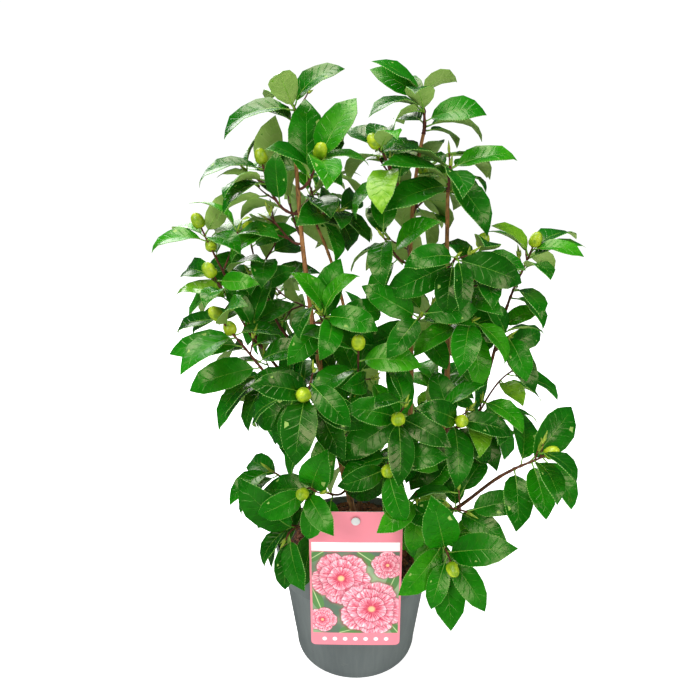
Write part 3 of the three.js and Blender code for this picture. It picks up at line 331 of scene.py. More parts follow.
class Solid:
    """A coarse solid with what the crossing test needs."""

    def __init__(self, points, faces, mass="", edges=None):
        self.mass = mass
        self.faces = points[faces]
        self.edges = points[edges_of(faces) if edges is None else edges]
        self.low, self.high = points.min(0), points.max(0)

    def near(self, other):
        return (self.low <= other.high).all() and (self.high >= other.low).all()

    def blocked(self, others):
        return meets(self.edges, self.faces, [other for other in others if self.near(other)])

    def outside(self, low, high):
        return (self.low < low).any() or (self.high > high).any()


def pierces(edges, faces):
    """Whether any edge goes through any face."""
    start, way = edges[:, 0][:, None], (edges[:, 1] - edges[:, 0])[:, None]
    corner, u, w = faces[:, 0][None], (faces[:, 1] - faces[:, 0])[None], (faces[:, 2] - faces[:, 0])[None]
    normal = np.cross(u, w)
    slope = (way * normal).sum(-1)
    crossing = np.abs(slope) > PARALLEL
    reach = ((corner - start) * normal).sum(-1) / np.where(crossing, slope, 1.0)
    point = start + reach[..., None] * way - corner
    uu, uw, ww = (u * u).sum(-1), (u * w).sum(-1), (w * w).sum(-1)
    pu, pw = (point * u).sum(-1), (point * w).sum(-1)
    area = uu * ww - uw * uw
    s, t = (ww * pu - uw * pw) / area, (uu * pw - uw * pu) / area
    return bool((crossing & (reach >= 0) & (reach <= 1) & (s >= 0) & (t >= 0) & (s + t <= 1)).any())


def meets(edges, faces, others):
    """Whether a form given by its edges and faces crosses any of the others."""
    if not others:
        return False
    return (pierces(edges, np.concatenate([other.faces for other in others]))
            or pierces(np.concatenate([other.edges for other in others]), faces))


LEAF_FACES = np.array([
    (0, 1, 2), (0, 2, 3), (0, 3, 1),
    (1, 4, 5), (1, 5, 2), (2, 5, 6), (2, 6, 3), (3, 6, 7), (3, 7, 1), (1, 7, 4),
    (4, 8, 5), (5, 8, 9), (5, 9, 6), (6, 9, 10), (6, 10, 7), (7, 10, 8), (7, 8, 4),
    (8, 11, 9), (9, 11, 10), (10, 11, 8),
])
LEAF_EDGES = edges_of(LEAF_FACES)
LEAF_ROOT_FACES = 3
BLADE_FACES = LEAF_FACES[LEAF_ROOT_FACES:]
BLADE_EDGES = LEAF_EDGES[LEAF_EDGES[:, 0] > 0]


def leaf_points(root, heading, upper, length, curl):
    """Twelve points of a leaf folded along its rib, on an arc that curls away from its upper face."""
    side = np.cross(heading, upper)
    neck = root + heading * LEAF["neck"]
    width = LEAF["neck_width"]
    points = [root - heading * LEAF["sunk"], neck + side * width, neck - side * width, neck - upper * width]
    for share, breadth, fold, underside in STATIONS:
        centre, normal = leaf_arc(root, heading, upper, length, curl, share)
        half = LEAF["half_width"] * length * breadth
        rise = normal * fold * half
        points += [centre + side * half + rise, centre + normal * LEAF["half_thickness"],
                   centre - side * half + rise]
        if underside:
            points.append(centre - normal * LEAF["half_thickness"])
    points.append(leaf_arc(root, heading, upper, length, curl, 1.0)[0])
    return np.array(points)


def leaf_arc(root, heading, upper, length, curl, share):
    """Centre and normal of a blade at a share of its length: a circular arc that turns by curl."""
    angle, radius = curl * share, length / curl
    base = root + heading * LEAF["petiole"]
    centre = base + heading * radius * np.sin(angle) - upper * radius * (1 - np.cos(angle))
    return centre, heading * np.sin(angle) + upper * np.cos(angle)


def bud_points(centre, axis):
    """Two rings between two ends, on the twig's line."""
    first, second = across(axis)
    ring = BUD["radius"] * np.sqrt(1 - BUD["waist"] ** 2)
    points = [centre - axis * BUD["half_length"]]
    for way, shift in ((-1, 0), (1, 0.5)):
        angle = (2 * np.pi * (np.arange(BUD["sides"]) + shift) / BUD["sides"])[:, None]
        level = centre + axis * way * BUD["waist"] * BUD["half_length"]
        points += list(level + first * ring * np.cos(angle) + second * ring * np.sin(angle))
    return np.array(points + [centre + axis * BUD["half_length"]])


def bud_faces():
    sides = BUD["sides"]
    low = 1 + np.arange(sides)
    low_next = 1 + (np.arange(sides) + 1) % sides
    high, high_next, end = low + sides, low_next + sides, 2 * sides + 1
    rows = [(0 * low, low_next, low), (low, low_next, high), (low_next, high_next, high),
            (high, high_next, 0 * low + end)]
    return np.concatenate([np.stack(row, 1) for row in rows])


def pot_guard():
    path = np.array([[0, 0, 0], [0, 0, POT["height"] + GUARD["pot_top"]]], float)
    radii = (POT["foot"] + GUARD["pot_foot"], POT["rim"] + GUARD["pot"])
    return Solid(*limb_form(path, radii, GUARD["pot_sides"], UP))


def card_guard():
    x = CARD["width"] / 2 + GUARD["card"]
    low = (-x, CARD["front"] - GUARD["card_face"], CARD["bottom"] - GUARD["card"])
    high = (x, CARD["front"] + GUARD["card_face"], CARD["bottom"] + CARD["height"] + GUARD["card"])
    corner = np.arange(8)[:, None]
    points = np.where(corner >> np.arange(3) & 1, high, low).astype(float)
    faces = np.array([(0, 2, 3), (0, 3, 1), (4, 5, 7), (4, 7, 6), (0, 1, 5), (0, 5, 4),
                      (2, 6, 7), (2, 7, 3), (0, 4, 6), (0, 6, 2), (1, 3, 7), (1, 7, 5)])
    return Solid(points, faces)


# ---------------------------------------------------------------- growing the plant
def limb_at(limb, height):
    """Point, radius and heading of a limb at a height."""
    path, radii = limb["bend"].path, limb["radii"]
    k = min(max(int(np.searchsorted(path[:, 2], height)) - 1, 0), len(path) - 2)
    share = (height - path[k][2]) / (path[k + 1][2] - path[k][2])
    point = mix(path[k], path[k + 1], share)
    return point, mix(radii[k], radii[k + 1], share), unit(path[k + 1] - path[k])


def branch_foot(limb, height, tip):
    """Where a side limb leaves: square to its parent, on the side of its tip, just clear of the bark."""
    point, radius, heading = limb_at(limb, height)
    out = np.array(tip, float) - point
    out = unit(out - heading * (out @ heading))
    return dict(foot=point + out * (radius + CLEAR), out=out, inside=point)


def grow_stem(foot, tip, lean, end, radii):
    start = (*foot, SOIL["height"] + CLEAR)
    bend = Bend(start, tip, lean, end, STEM_STEPS)
    width = np.linspace(*radii, STEM_STEPS + 1)
    width[:len(FLARE)] *= FLARE
    points, faces = limb_form(bend.path, width, STEM_SIDES, bend.leaving)
    points[:STEM_SIDES, 2] = start[2]
    return dict(bend=bend, radii=width, solid=Solid(points, faces), inside=None)


def grow_bough(limbs, on, at, tip, end, radii):
    start = branch_foot(limbs[on], at, tip)
    bend = Bend(start["foot"], tip, start["out"], end, BOUGH_STEPS)
    width = np.linspace(*radii, BOUGH_STEPS + 1)
    solid = Solid(*limb_form(bend.path, width, BOUGH_SIDES, bend.leaving))
    return dict(bend=bend, radii=width, solid=solid, inside=start["inside"])


def mass_foot(limb, height, tip):
    """Where the stem of a mass starts: on a limb's side at a height, or on from the limb's tip."""
    if height > 0:
        return dict(branch_foot(limb, height, tip), radius=TWIG["foot_radius"], bare=TWIG["bare"])
    path = limb["bend"].path
    out = unit(path[-1] - path[-2])
    radius = limb["radii"][-1] * TWIG["on_tip"]
    return dict(foot=path[-1] + out * CLEAR, out=out, inside=path[-1] - out * TWIG["inset"],
                radius=radius, bare=TWIG["bare_on_tip"])


def side_way(axis, dice):
    """Way that a side twig takes: ahead, outward at a thrown turn and a little up."""
    turn = np.radians(dice.between(0, 360))
    first, second = across(axis)
    return unit(axis * FORK["ahead"] + first * np.cos(turn) + second * np.sin(turn) + UP * FORK["lift"])


def twig_solid(twig, name):
    bend = twig["bend"]
    return Solid(*limb_form(bend.path, twig["radii"], TWIG["sides"], bend.leaving), name)


def grow_fork(path, dice):
    """A side twig from a main twig's path."""
    knot = int(dice.between(*FORK["share"]) * TWIG["steps"])
    out = side_way(unit(path[knot + 1] - path[knot]), dice)
    far = path[knot] + out * dice.between(*FORK["reach"])
    bend = Bend(path[knot], far, out, out + UP * FORK["rise"], FORK["steps"])
    return dict(bend=bend, radii=np.linspace(FORK["foot_radius"], FORK["tip_radius"], FORK["steps"] + 1),
                leaves=FORK["leaves"], bare=TWIG["bare"], inside=None)


def bud_seats(path, count):
    """Centre and axis of each flower bud: one on the tip, a second one leaning out just below."""
    heading = unit(path[-1] - path[-2])
    leaning = unit(heading + across(heading)[0])
    seats = [(path[-1], heading), (path[-2], leaning)][:count]
    return [(seat + axis * (BUD["half_length"] - BUD["sink"]), axis) for seat, axis in seats]


def grow_twigs(row, limbs, taken):
    """Twigs and buds of a mass: one main twig from the limb, and side twigs by the seeded rule."""
    name, on, at, tip, leaves, forks, seed, buds, leaf_length, droop, end = row
    dice = Dice(seed)
    start = mass_foot(limbs[on], at, tip)
    bend = Bend(start["foot"], tip, start["out"], end, TWIG["steps"])
    radii = np.linspace(start["radius"], TWIG["tip_radius"], TWIG["steps"] + 1)
    twigs = [dict(bend=bend, radii=radii, leaves=leaves, bare=start["bare"], inside=start["inside"])]
    solids = [twig_solid(twigs[0], name)]
    for _ in range(forks):
        fork = grow_fork(bend.path, dice)
        solid = twig_solid(fork, name)
        if solid.blocked(taken):
            continue
        twigs.append(fork)
        solids.append(solid)
    seats = bud_seats(bend.path, buds)
    solids += [Solid(bud_points(centre, axis), bud_faces(), name) for centre, axis in seats]
    return dict(name=name, dice=dice, twigs=twigs, solids=solids, buds=seats, leaf_length=leaf_length,
                droop=droop, grown=[])


def seat_on(path, share):
    """Point of a twig's path and its heading there, at a share of its length."""
    last = len(path) - 1
    knot = min(int(share * last), last - 1)
    return mix(path[knot], path[knot + 1], share * last - knot), unit(path[knot + 1] - path[knot])


def placed_leaf(mass, root, heading, upper, length, curl, taken):
    """A leaf as a solid of its mass, or None where it would touch something or hang too low."""
    points = leaf_points(root, heading, upper, length, curl)
    if points[:, 2].min() < LEAF["lowest"]:
        return None
    leaf = Solid(points, LEAF_FACES, mass["name"], LEAF_EDGES)
    near = [other for other in taken if leaf.near(other)]
    own = [other for other in near if other.mass == leaf.mass]
    strange = [other for other in near if other.mass != leaf.mass]
    if meets(leaf.edges, leaf.faces, strange) or meets(points[BLADE_EDGES], points[BLADE_FACES], own):
        return None
    return leaf


def set_leaf(mass, share, tip, look, curl, taken):
    """A leaf from the main twig to a sighted tip: the chord between them fixes its length and heading."""
    twig = mass["twigs"][0]
    root, _ = seat_on(twig["bend"].path, share)
    chord = sighted(*tip) - root
    ahead, below = np.sin(curl) / curl, (1 - np.cos(curl)) / curl
    square, start, petiole = ahead ** 2 + below ** 2, LEAF["petiole"] * ahead, LEAF["petiole"]
    length = (np.sqrt(start ** 2 + square * (chord @ chord - petiole ** 2)) - start) / square
    lift = np.arctan2(below * length, petiole + ahead * length)
    chord = unit(chord)
    face = np.array(look, float)
    face = unit(face - chord * (face @ chord))
    heading = chord * np.cos(lift) + face * np.sin(lift)
    upper = face * np.cos(lift) - chord * np.sin(lift)
    leaf = placed_leaf(mass, root, heading, upper, length, curl, taken)
    if leaf is None:
        return None
    return leaf, dict(root=root, seat=twig["bend"].at(share), heading=heading, upper=upper, length=length,
                      curl=curl, share=share, twig=0)


def grow_leaf(mass, twig, index, first_turn, taken):
    """One leaf of a twig by the rule, turned on a little where it would touch, or skipped."""
    dice = mass["dice"]
    order = (index + LEAF["first"]) / twig["leaves"]
    share = mix(twig["bare"], 1, 1 - (1 - order) ** LEAF["crowding"])
    root, axis = seat_on(twig["bend"].path, share)
    first, second = across(axis)
    spread = np.radians(dice.between(*LEAF["spread"]) - LEAF["spread_closes"] * share)
    play = dice.between(-LEAF["turn_play"], LEAF["turn_play"])
    roll = np.radians(dice.between(-LEAF["roll_play"], LEAF["roll_play"]))
    length = mass["leaf_length"] * dice.between(*LEAF["length"]) * (1 - LEAF["shrinks"] * order)
    curl = dice.between(*LEAF["curl"])
    sag = mass["droop"] * dice.between(*LEAF["sag"])
    for retry in LEAF["retries"]:
        turn = np.radians(first_turn + index * LEAF["turn"] + play + retry)
        outward = first * np.cos(turn) + second * np.sin(turn)
        heading = unit(axis * np.cos(spread) + outward * np.sin(spread) - UP * sag)
        level = axis * LEAF["face_along"] + UP * LEAF["face_up"] - FORWARD * LEAF["face_front"]
        level = unit(level - heading * (level @ heading))
        upper = level * np.cos(roll) + np.cross(heading, level) * np.sin(roll)
        leaf = placed_leaf(mass, root, heading, upper, length, curl, taken)
        if leaf is None:
            continue
        seat = twig["bend"].at(share)
        return leaf, dict(root=root, seat=seat, heading=heading, upper=upper, length=length, curl=curl,
                          share=share)
    return None


def grow_leaves(mass, taken):
    leaves = []
    for number, twig in enumerate(mass["twigs"]):
        first_turn = mass["dice"].between(0, 360)
        for k in range(twig["leaves"]):
            grown = grow_leaf(mass, twig, k, first_turn, taken)
            if grown is None:
                continue
            taken.append(grown[0])
            leaves.append(dict(grown[1], twig=number))
    return leaves


def grow_spurs(mass, taken):
    """Finer growth: short spurs on a mass's twigs, each with a few smaller leaves, by the same rule."""
    own = [solid for solid in taken if solid.mass == mass["name"]]
    low = np.min([solid.low for solid in own], 0) - SPUR["beyond"]
    high = np.max([solid.high for solid in own], 0) + SPUR["beyond"]
    fine = dict(mass, leaf_length=mass["leaf_length"] * SPUR["leaf_share"])
    for bearer in list(mass["twigs"]):
        for _ in range(SPUR["tries"]):
            spur = grow_spur(bearer, mass["dice"])
            solid = twig_solid(spur, mass["name"])
            if solid.outside(low, high) or solid.blocked(taken):
                continue
            number = len(mass["twigs"])
            mass["twigs"].append(spur)
            first_turn = mass["dice"].between(0, 360)
            for k in range(spur["leaves"]):
                grown = grow_leaf(fine, spur, k, first_turn, taken)
                if grown is not None and not grown[0].outside(low, high):
                    taken.append(grown[0])
                    mass["grown"].append(dict(grown[1], twig=number))
            taken.append(solid)


def grow_spur(bearer, dice):
    """A short spur: it leaves its bearer outward, at a thrown place and turn, and bends up."""
    bend = bearer["bend"]
    share = dice.between(*SPUR["share"])
    foot = bend.at(share)
    out = side_way(unit(bend.at(share + SPUR["nearby"]) - bend.at(share - SPUR["nearby"])), dice)
    far = foot + out * dice.between(*SPUR["reach"])
    shoot = Bend(foot + out * SPUR["start"], far, out, out + UP * FORK["rise"], FORK["steps"])
    return dict(bend=shoot, radii=np.linspace(*SPUR["radii"], FORK["steps"] + 1), leaves=SPUR["leaves"],
                bare=TWIG["bare"], inside=foot)


def grow_plant():
    limbs = {name: grow_stem(**stem) for name, stem in STEMS.items()}
    for name, bough in BOUGHS.items():
        limbs[name] = grow_bough(limbs, **bough)
    taken = [pot_guard(), card_guard()] + [limb["solid"] for limb in limbs.values()]
    masses = []
    for row in MASSES:
        mass = grow_twigs(row, limbs, taken)
        taken += mass["solids"]
        masses.append(mass)
    by_name = {mass["name"]: mass for mass in masses}
    for name, *place in SET_LEAVES:
        grown = set_leaf(by_name[name], *place, taken)
        if grown is not None:
            taken.append(grown[0])
            by_name[name]["grown"].append(grown[1])
    for mass in masses:
        mass["grown"] += grow_leaves(mass, taken)
    for mass in masses:
        grow_spurs(mass, taken)
    return limbs, masses


# ---------------------------------------------------------------- meshes
def mesh_piece(name, points, face_sets, materials, slot, nodes, uv=None, kinds=None, sharp=None):
    """A finished piece from points in millimetres and sets of equal-sided faces.

    kinds gives the material number of each face set, uv one pair for each point, and sharp the
    angle in degrees past which an edge stays crisp."""
    mesh = bpy.data.meshes.new(name)
    sizes = np.concatenate([np.full(len(faces), faces.shape[1]) for faces in face_sets])
    corners = np.concatenate([faces.ravel() for faces in face_sets])
    mesh.vertices.add(len(points))
    mesh.vertices.foreach_set("co", (np.asarray(points) * MM).astype(np.float32).ravel())
    mesh.loops.add(len(corners))
    mesh.loops.foreach_set("vertex_index", corners.astype(np.int32))
    mesh.polygons.add(len(sizes))
    mesh.polygons.foreach_set("loop_start", (np.cumsum(sizes) - sizes).astype(np.int32))
    for material in materials:
        mesh.materials.append(material)
    if kinds is not None:
        kind = np.concatenate([np.full(len(faces), k) for faces, k in zip(face_sets, kinds)])
        mesh.polygons.foreach_set("material_index", kind.astype(np.int32))
    if uv is not None:
        layer = mesh.uv_layers.new(name="surface")
        layer.data.foreach_set("uv", uv[corners].astype(np.float32).ravel())
    mesh.update(calc_edges=True)
    mesh.validate()
    mesh.shade_smooth()
    if sharp is not None:
        mesh.set_sharp_from_angle(angle=np.radians(sharp))
    piece = bpy.data.objects.new(name, mesh)
    bpy.context.scene.collection.objects.link(piece)
    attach(piece, "root")
    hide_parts(*nodes)
    return piece


def grid_faces(rows, columns, wrap=False):
    """Quads of a grid of points, rows by columns, facing (along columns) x (along rows)."""
    a = np.arange(rows - 1)[:, None] * columns + np.arange(columns if wrap else columns - 1)
    b = np.arange(rows - 1)[:, None] * columns + (np.arange(columns if wrap else columns - 1) + 1) % columns
    return np.stack([a, b, b + columns, a + columns], -1).reshape(-1, 4)


def repeated(faces, count, stride):
    """The same faces for each of count copies, whose points follow each other at a stride."""
    return (faces[None] + stride * np.arange(count)[:, None, None]).reshape(-1, faces.shape[1])


def joined(parts):
    """Points and face sets of several forms as one: parts is [(points, [faces, ...]), ...]."""
    start, points, sets = 0, [], {}
    for part_points, part_sets in parts:
        for faces in part_sets:
            sets.setdefault(faces.shape[1], []).append(faces + start)
        points.append(part_points)
        start += len(part_points)
    return np.concatenate(points), [np.concatenate(faces) for faces in sets.values()]


def sweep(path, radii, sides, leaving):
    """Closed tube along a path, with one radius for each ring, or one for each ring and side."""
    top = (len(path) - 1) * sides
    caps = np.stack([np.arange(sides)[::-1], top + np.arange(sides)])
    return ring_points(path, radii, sides, leaving), [grid_faces(len(path), sides, wrap=True), caps]


def slab(front, back, rows, columns):
    """Closed sheet between two grids of points, with a skirt of quads round their borders."""
    flat, count = grid_faces(rows, columns), rows * columns
    loop = np.concatenate([np.arange(columns), np.arange(1, rows) * columns + columns - 1,
                           (rows - 1) * columns + np.arange(columns - 1)[::-1],
                           np.arange(1, rows - 1)[::-1] * columns])
    after = np.roll(loop, -1)
    skirt = np.stack([loop, loop + count, after + count, after], 1)
    points = np.concatenate([front.reshape(-1, 3), back.reshape(-1, 3)])
    return points, [flat, flat[:, ::-1] + count, skirt]


def lathe(profile, sides):
    """Surface turned about Z from (radius, height) points that run outward, up and back to the axis."""
    profile = np.asarray(profile, float)
    angle = 2 * np.pi * np.arange(sides) / sides
    inner = profile[1:-1]
    ring = np.stack([np.cos(angle), np.sin(angle)], -1)
    xy = inner[:, 0][:, None, None] * ring[None]
    z = np.broadcast_to(inner[:, 1][:, None, None], xy.shape[:2] + (1,))
    points = np.concatenate([np.concatenate([xy, z], -1).reshape(-1, 3),
                             [[0, 0, profile[0, 1]], [0, 0, profile[-1, 1]]]])
    walls = grid_faces(len(inner), sides, wrap=True)
    first, last = len(points) - 2, len(points) - 1
    top = (len(inner) - 1) * sides
    j, n = np.arange(sides), (np.arange(sides) + 1) % sides
    poles = [np.stack([0 * j + first, n, j], 1), np.stack([0 * j + last, top + j, top + n], 1)]
    return points, [walls, np.concatenate(poles)]


def rounded(corners, radius, steps=4, most=0.45):
    """A profile with its inner corners rounded: each becomes an arc (quadratic Bezier), which takes up
    at most that share of the sides it joins."""
    corners = np.asarray(corners, float)
    out = [corners[0]]
    t = np.linspace(0, 1, steps + 1)[:, None]
    for before, here, after in zip(corners, corners[1:], corners[2:]):
        reach = min(radius, most * np.hypot(*(here - before)), most * np.hypot(*(after - here)))
        start, end = here + unit(before - here) * reach, here + unit(after - here) * reach
        out.extend((1 - t) ** 2 * start + 2 * (1 - t) * t * here + t ** 2 * end)
    out.append(corners[-1])
    return np.array(out)


# ---------------------------------------------------------------- shader maths
class Value:
    """A socket that varies over a surface; Python's operators on it add Math nodes."""

    def __init__(self, paint, socket):
        self.paint, self.socket = paint, socket

    def math(self, operation, *values):
        return self.paint.node("ShaderNodeMath", dict(operation=operation), values)

    def __add__(self, other):
        return self.math("ADD", self, other)

    def __sub__(self, other):
        return self.math("SUBTRACT", self, other)

    def __rsub__(self, other):
        return self.math("SUBTRACT", other, self)

    def __mul__(self, other):
        return self.math("MULTIPLY", self, other)

    def __truediv__(self, other):
        return self.math("DIVIDE", self, other)

    def __pow__(self, other):
        return self.math("POWER", self, other)

    def __lt__(self, other):
        return self.math("LESS_THAN", self, other)

    def __gt__(self, other):
        return self.math("GREATER_THAN", self, other)

    def __abs__(self):
        return self.math("ABSOLUTE", self)

    __radd__ = __add__
    __rmul__ = __mul__

    def cos(self):
        return self.math("COSINE", self)

    def angle(self, other):
        """Angle of the point (other, self) about the origin."""
        return self.math("ARCTAN2", self, other)

    def wrapped(self):
        """Distance to the nearest whole number."""
        return abs(self.math("FRACT", self + 0.5) - 0.5)

    def step(self, low, high):
        """0 below low, 1 above high, smooth between."""
        settings = dict(interpolation_type="SMOOTHSTEP")
        return self.paint.node("ShaderNodeMapRange", settings, {0: self, 1: low, 2: high, 3: 0.0, 4: 1.0})


class Paint:
    """One Principled material whose sockets are fed by expressions."""

    def __init__(self, name, **constants):
        self.material = bpy.data.materials.new(name)
        self.material.use_nodes = True
        self.tree = self.material.node_tree
        self.surface = self.tree.nodes["Principled BSDF"]
        for socket, value in constants.items():
            title = socket.replace("_", " ").title().replace("Ior", "IOR")
            self.surface.inputs[title].default_value = value

    def node(self, kind, settings=None, inputs=(), output=0):
        """Adds a node: its settings first, then the values or links of its sockets."""
        made = self.tree.nodes.new(kind)
        for key, value in (settings or {}).items():
            setattr(made, key, value)
        pairs = inputs.items() if isinstance(inputs, dict) else enumerate(inputs)
        for key, value in pairs:
            if isinstance(value, Value):
                self.tree.links.new(value.socket, made.inputs[key])
            else:
                made.inputs[key].default_value = value
        return Value(self, made.outputs[output])

    def xyz(self, scale=(1, 1, 1)):
        """Object coordinates in metres, stretched by a scale."""
        place = self.node("ShaderNodeTexCoord", output="Object")
        return self.node("ShaderNodeVectorMath", dict(operation="MULTIPLY"), (place, scale))

    def parts(self, vector):
        """x, y and z of a vector."""
        first = self.node("ShaderNodeSeparateXYZ", inputs=(vector,))
        return first, *(Value(self, first.socket.node.outputs[k]) for k in (1, 2))

    def noise(self, vector, scale, detail=3.0, rough=0.5, distortion=0.0):
        """Cloudy noise from 0 to 1."""
        inputs = {"Vector": vector, "Scale": scale, "Detail": detail, "Roughness": rough,
                  "Distortion": distortion}
        return self.node("ShaderNodeTexNoise", None, inputs)

    def cells(self, vector, scale):
        """Distance to the nearest scattered point."""
        return self.node("ShaderNodeTexVoronoi", None, {"Vector": vector, "Scale": scale})

    def mix(self, share, first, second):
        """Colour between two colours."""
        return self.node("ShaderNodeMix", dict(data_type="RGBA"), {0: share, 6: first, 7: second}, 2)

    def bump(self, height, strength, distance):
        """Feeds the normal with a relief of the given depth in metres."""
        inputs = {"Strength": strength, "Distance": distance, "Height": height}
        self.feed("Normal", self.node("ShaderNodeBump", None, inputs))

    def feed(self, socket, value):
        self.tree.links.new(value.socket, self.surface.inputs[socket])


def rgb(red, green, blue):
    """Linear colour with alpha from 0-255 screen values."""
    screen = np.array([red, green, blue]) / 255
    linear = np.where(screen <= 0.04045, screen / 12.92, ((screen + 0.055) / 1.055) ** 2.4)
    return (*(float(x) for x in linear), 1.0)


# ---------------------------------------------------------------- finishes
WARM_GLOSS = (1.0, 0.94, 0.5, 1.0)
VEINS = dict(pairs=8.0, lean=1.9, arch=0.7, fade=(0.5, 0.95))


def side_veins(paint, first, last):
    """1 on the side veins of a leaf, which leave the rib in turn and arch up towards the margin."""
    u, v, _ = paint.parts(paint.node("ShaderNodeUVMap", dict(uv_map="surface")))
    off = abs(u * 2.0 - 1.0)
    arch = v * VEINS["pairs"] - off * VEINS["lean"] + off * off * VEINS["arch"]
    return (1.0 - arch.wrapped().step(first, last)) * (1.0 - off.step(*VEINS["fade"]))


def leaf_upper(name, dark, light, worn):
    """Glossy upper face: soft mottling, faint arching side veins, shallow blisters and worn patches."""
    paint = Paint(name, roughness=0.3, ior=1.47, specular_tint=WARM_GLOSS)
    vein = side_veins(paint, 0.02, 0.13)
    patches = paint.noise(paint.xyz(), 38.0, 2.0)
    mottle = paint.noise(paint.xyz(), 190.0, 3.0, 0.6)
    body = paint.mix((patches * 0.8 + mottle * 0.5 - 0.15).step(0.25, 0.75), dark, light)
    aged = paint.mix(paint.noise(paint.xyz(), 55.0, 4.0, 0.65).step(0.6, 0.74) * 0.35, body, worn)
    paint.feed("Base Color", paint.mix(vein * 0.09, aged, rgb(60, 168, 20)))
    paint.feed("Roughness", 0.14 + patches * 0.26)
    paint.bump(mottle * 0.6 - vein * 0.6 + patches, 0.5, 0.0012)
    return paint.material


def leaf_under(name, dark, light):
    """Matt underside with raised veins."""
    paint = Paint(name, roughness=0.5, ior=1.36, specular_tint=WARM_GLOSS)
    vein = side_veins(paint, 0.02, 0.12)
    cloud = paint.noise(paint.xyz(), 90.0, 3.0)
    paint.feed("Base Color", paint.mix(vein * 0.25, paint.mix(cloud, dark, light), rgb(174, 196, 122)))
    paint.bump(vein + cloud * 0.2, 0.4, 0.0005)
    return paint.material


def leaf_margin(name, green, tooth):
    """Margin of a leaf: fine teeth, each with a pale point, set along both edges."""
    paint = Paint(name, roughness=0.4)
    _, v, _ = paint.parts(paint.node("ShaderNodeUVMap", dict(uv_map="surface")))
    paint.feed("Base Color", paint.mix(1.0 - (v * 26.0).wrapped().step(0.08, 0.34), green, tooth))
    return paint.material


def waxy(name, dark, light, tip, scale=160.0, roughness=0.42):
    """Waxy skin of ribs, edges, petioles and buds, clouded between two tones."""
    paint = Paint(name, roughness=roughness)
    cloud = paint.noise(paint.xyz(), scale, 2.0)
    speck = paint.noise(paint.xyz(), scale * 6, 2.0)
    body = paint.mix(cloud.step(0.3, 0.7), dark, light)
    paint.feed("Base Color", paint.mix(speck.step(0.62, 0.75) * 0.35, body, tip))
    paint.bump(cloud + speck * 0.3, 0.2, 0.0004)
    return paint.material


def bark_finish(name, low, high, fissure, pale, fade):
    """Bark: lengthwise streaks and specks, from the low colour at the foot to the high one above."""
    paint = Paint(name, roughness=0.72)
    _, _, height = paint.parts(paint.xyz())
    streak = paint.noise(paint.xyz((1, 1, 0.12)), 900.0, 4.0, 0.6)
    patch = paint.noise(paint.xyz((1, 1, 0.4)), 130.0, 3.0)
    speck = paint.noise(paint.xyz((1, 1, 0.5)), 1400.0, 2.0)
    ground = paint.mix((height + patch * 0.06).step(*fade), low, high)
    body = paint.mix(patch.step(0.5, 0.72) * 0.6, ground, pale)
    cracked = paint.mix((1.0 - streak.step(0.38, 0.52)) * 0.75, body, fissure)
    paint.feed("Base Color", paint.mix(speck.step(0.66, 0.74) * 0.7, cracked, fissure))
    paint.feed("Roughness", 0.62 + streak * 0.25)
    paint.bump(streak + speck * 0.4, 0.7, 0.0006)
    return paint.material


def pot_finish():
    """Satin grey moulded plastic: clouding, fine pits, rubbed marks low down and dust on the collar."""
    paint = Paint("moulded_pot_plastic", roughness=0.5)
    _, _, height = paint.parts(paint.xyz())
    cloud = paint.noise(paint.xyz((1, 1, 0.5)), 14.0, 4.0, 0.55)
    pits = paint.noise(paint.xyz(), 1500.0, 2.0)
    drawn = paint.noise(paint.xyz((1, 1, 0.04)), 260.0, 3.0)
    specks = paint.cells(paint.xyz(), 150.0)
    scuff = paint.noise(paint.xyz((1, 1, 2.5)), 60.0, 5.0, 0.7, 0.6)
    body = paint.mix((cloud * 0.8 + drawn * 0.3).step(0.3, 0.8), rgb(83, 91, 91), rgb(102, 110, 108))
    worn = paint.mix(scuff.step(0.6, 0.78) * (1.0 - height.step(0.01, 0.05)) * 0.4, body, rgb(160, 164, 160))
    dusty = paint.mix(scuff.step(0.58, 0.72) * height.step(0.11, 0.143) * 0.25, worn, rgb(84, 70, 58))
    paint.feed("Base Color", paint.mix((1.0 - specks.step(0.035, 0.06)) * 0.6, dusty, rgb(60, 52, 46)))
    paint.feed("Roughness", 0.42 + cloud * 0.16 + pits * 0.06)
    paint.bump(pits * 0.5 + drawn * 0.5 + scuff * 0.3, 0.25, 0.0004)
    return paint.material


def earth_finish(name, dark, light, chip):
    """Damp potting mix or bark: crumbly tones and coarse relief."""
    paint = Paint(name, roughness=0.85)
    crumbs = paint.noise(paint.xyz(), 420.0, 5.0, 0.65)
    lumps = paint.cells(paint.xyz(), 260.0)
    fibre = paint.noise(paint.xyz((1, 0.25, 1)), 700.0, 3.0)
    body = paint.mix(crumbs.step(0.3, 0.7), dark, light)
    paint.feed("Base Color", paint.mix(fibre.step(0.52, 0.68) * 0.6, body, chip))
    paint.feed("Roughness", 0.7 + crumbs * 0.25)
    paint.bump(crumbs + lumps * 0.8, 0.8, 0.0015)
    return paint.material


def clear_finish():
    """Milky translucent plastic of the stake and its peg."""
    paint = Paint("milky_stake_plastic", roughness=0.3, transmission_weight=0.25, ior=1.46)
    haze = paint.noise(paint.xyz(), 120.0, 3.0)
    paint.feed("Base Color", paint.mix(haze, rgb(206, 212, 210), rgb(236, 239, 238)))
    paint.feed("Roughness", 0.25 + haze * 0.2)
    return paint.material


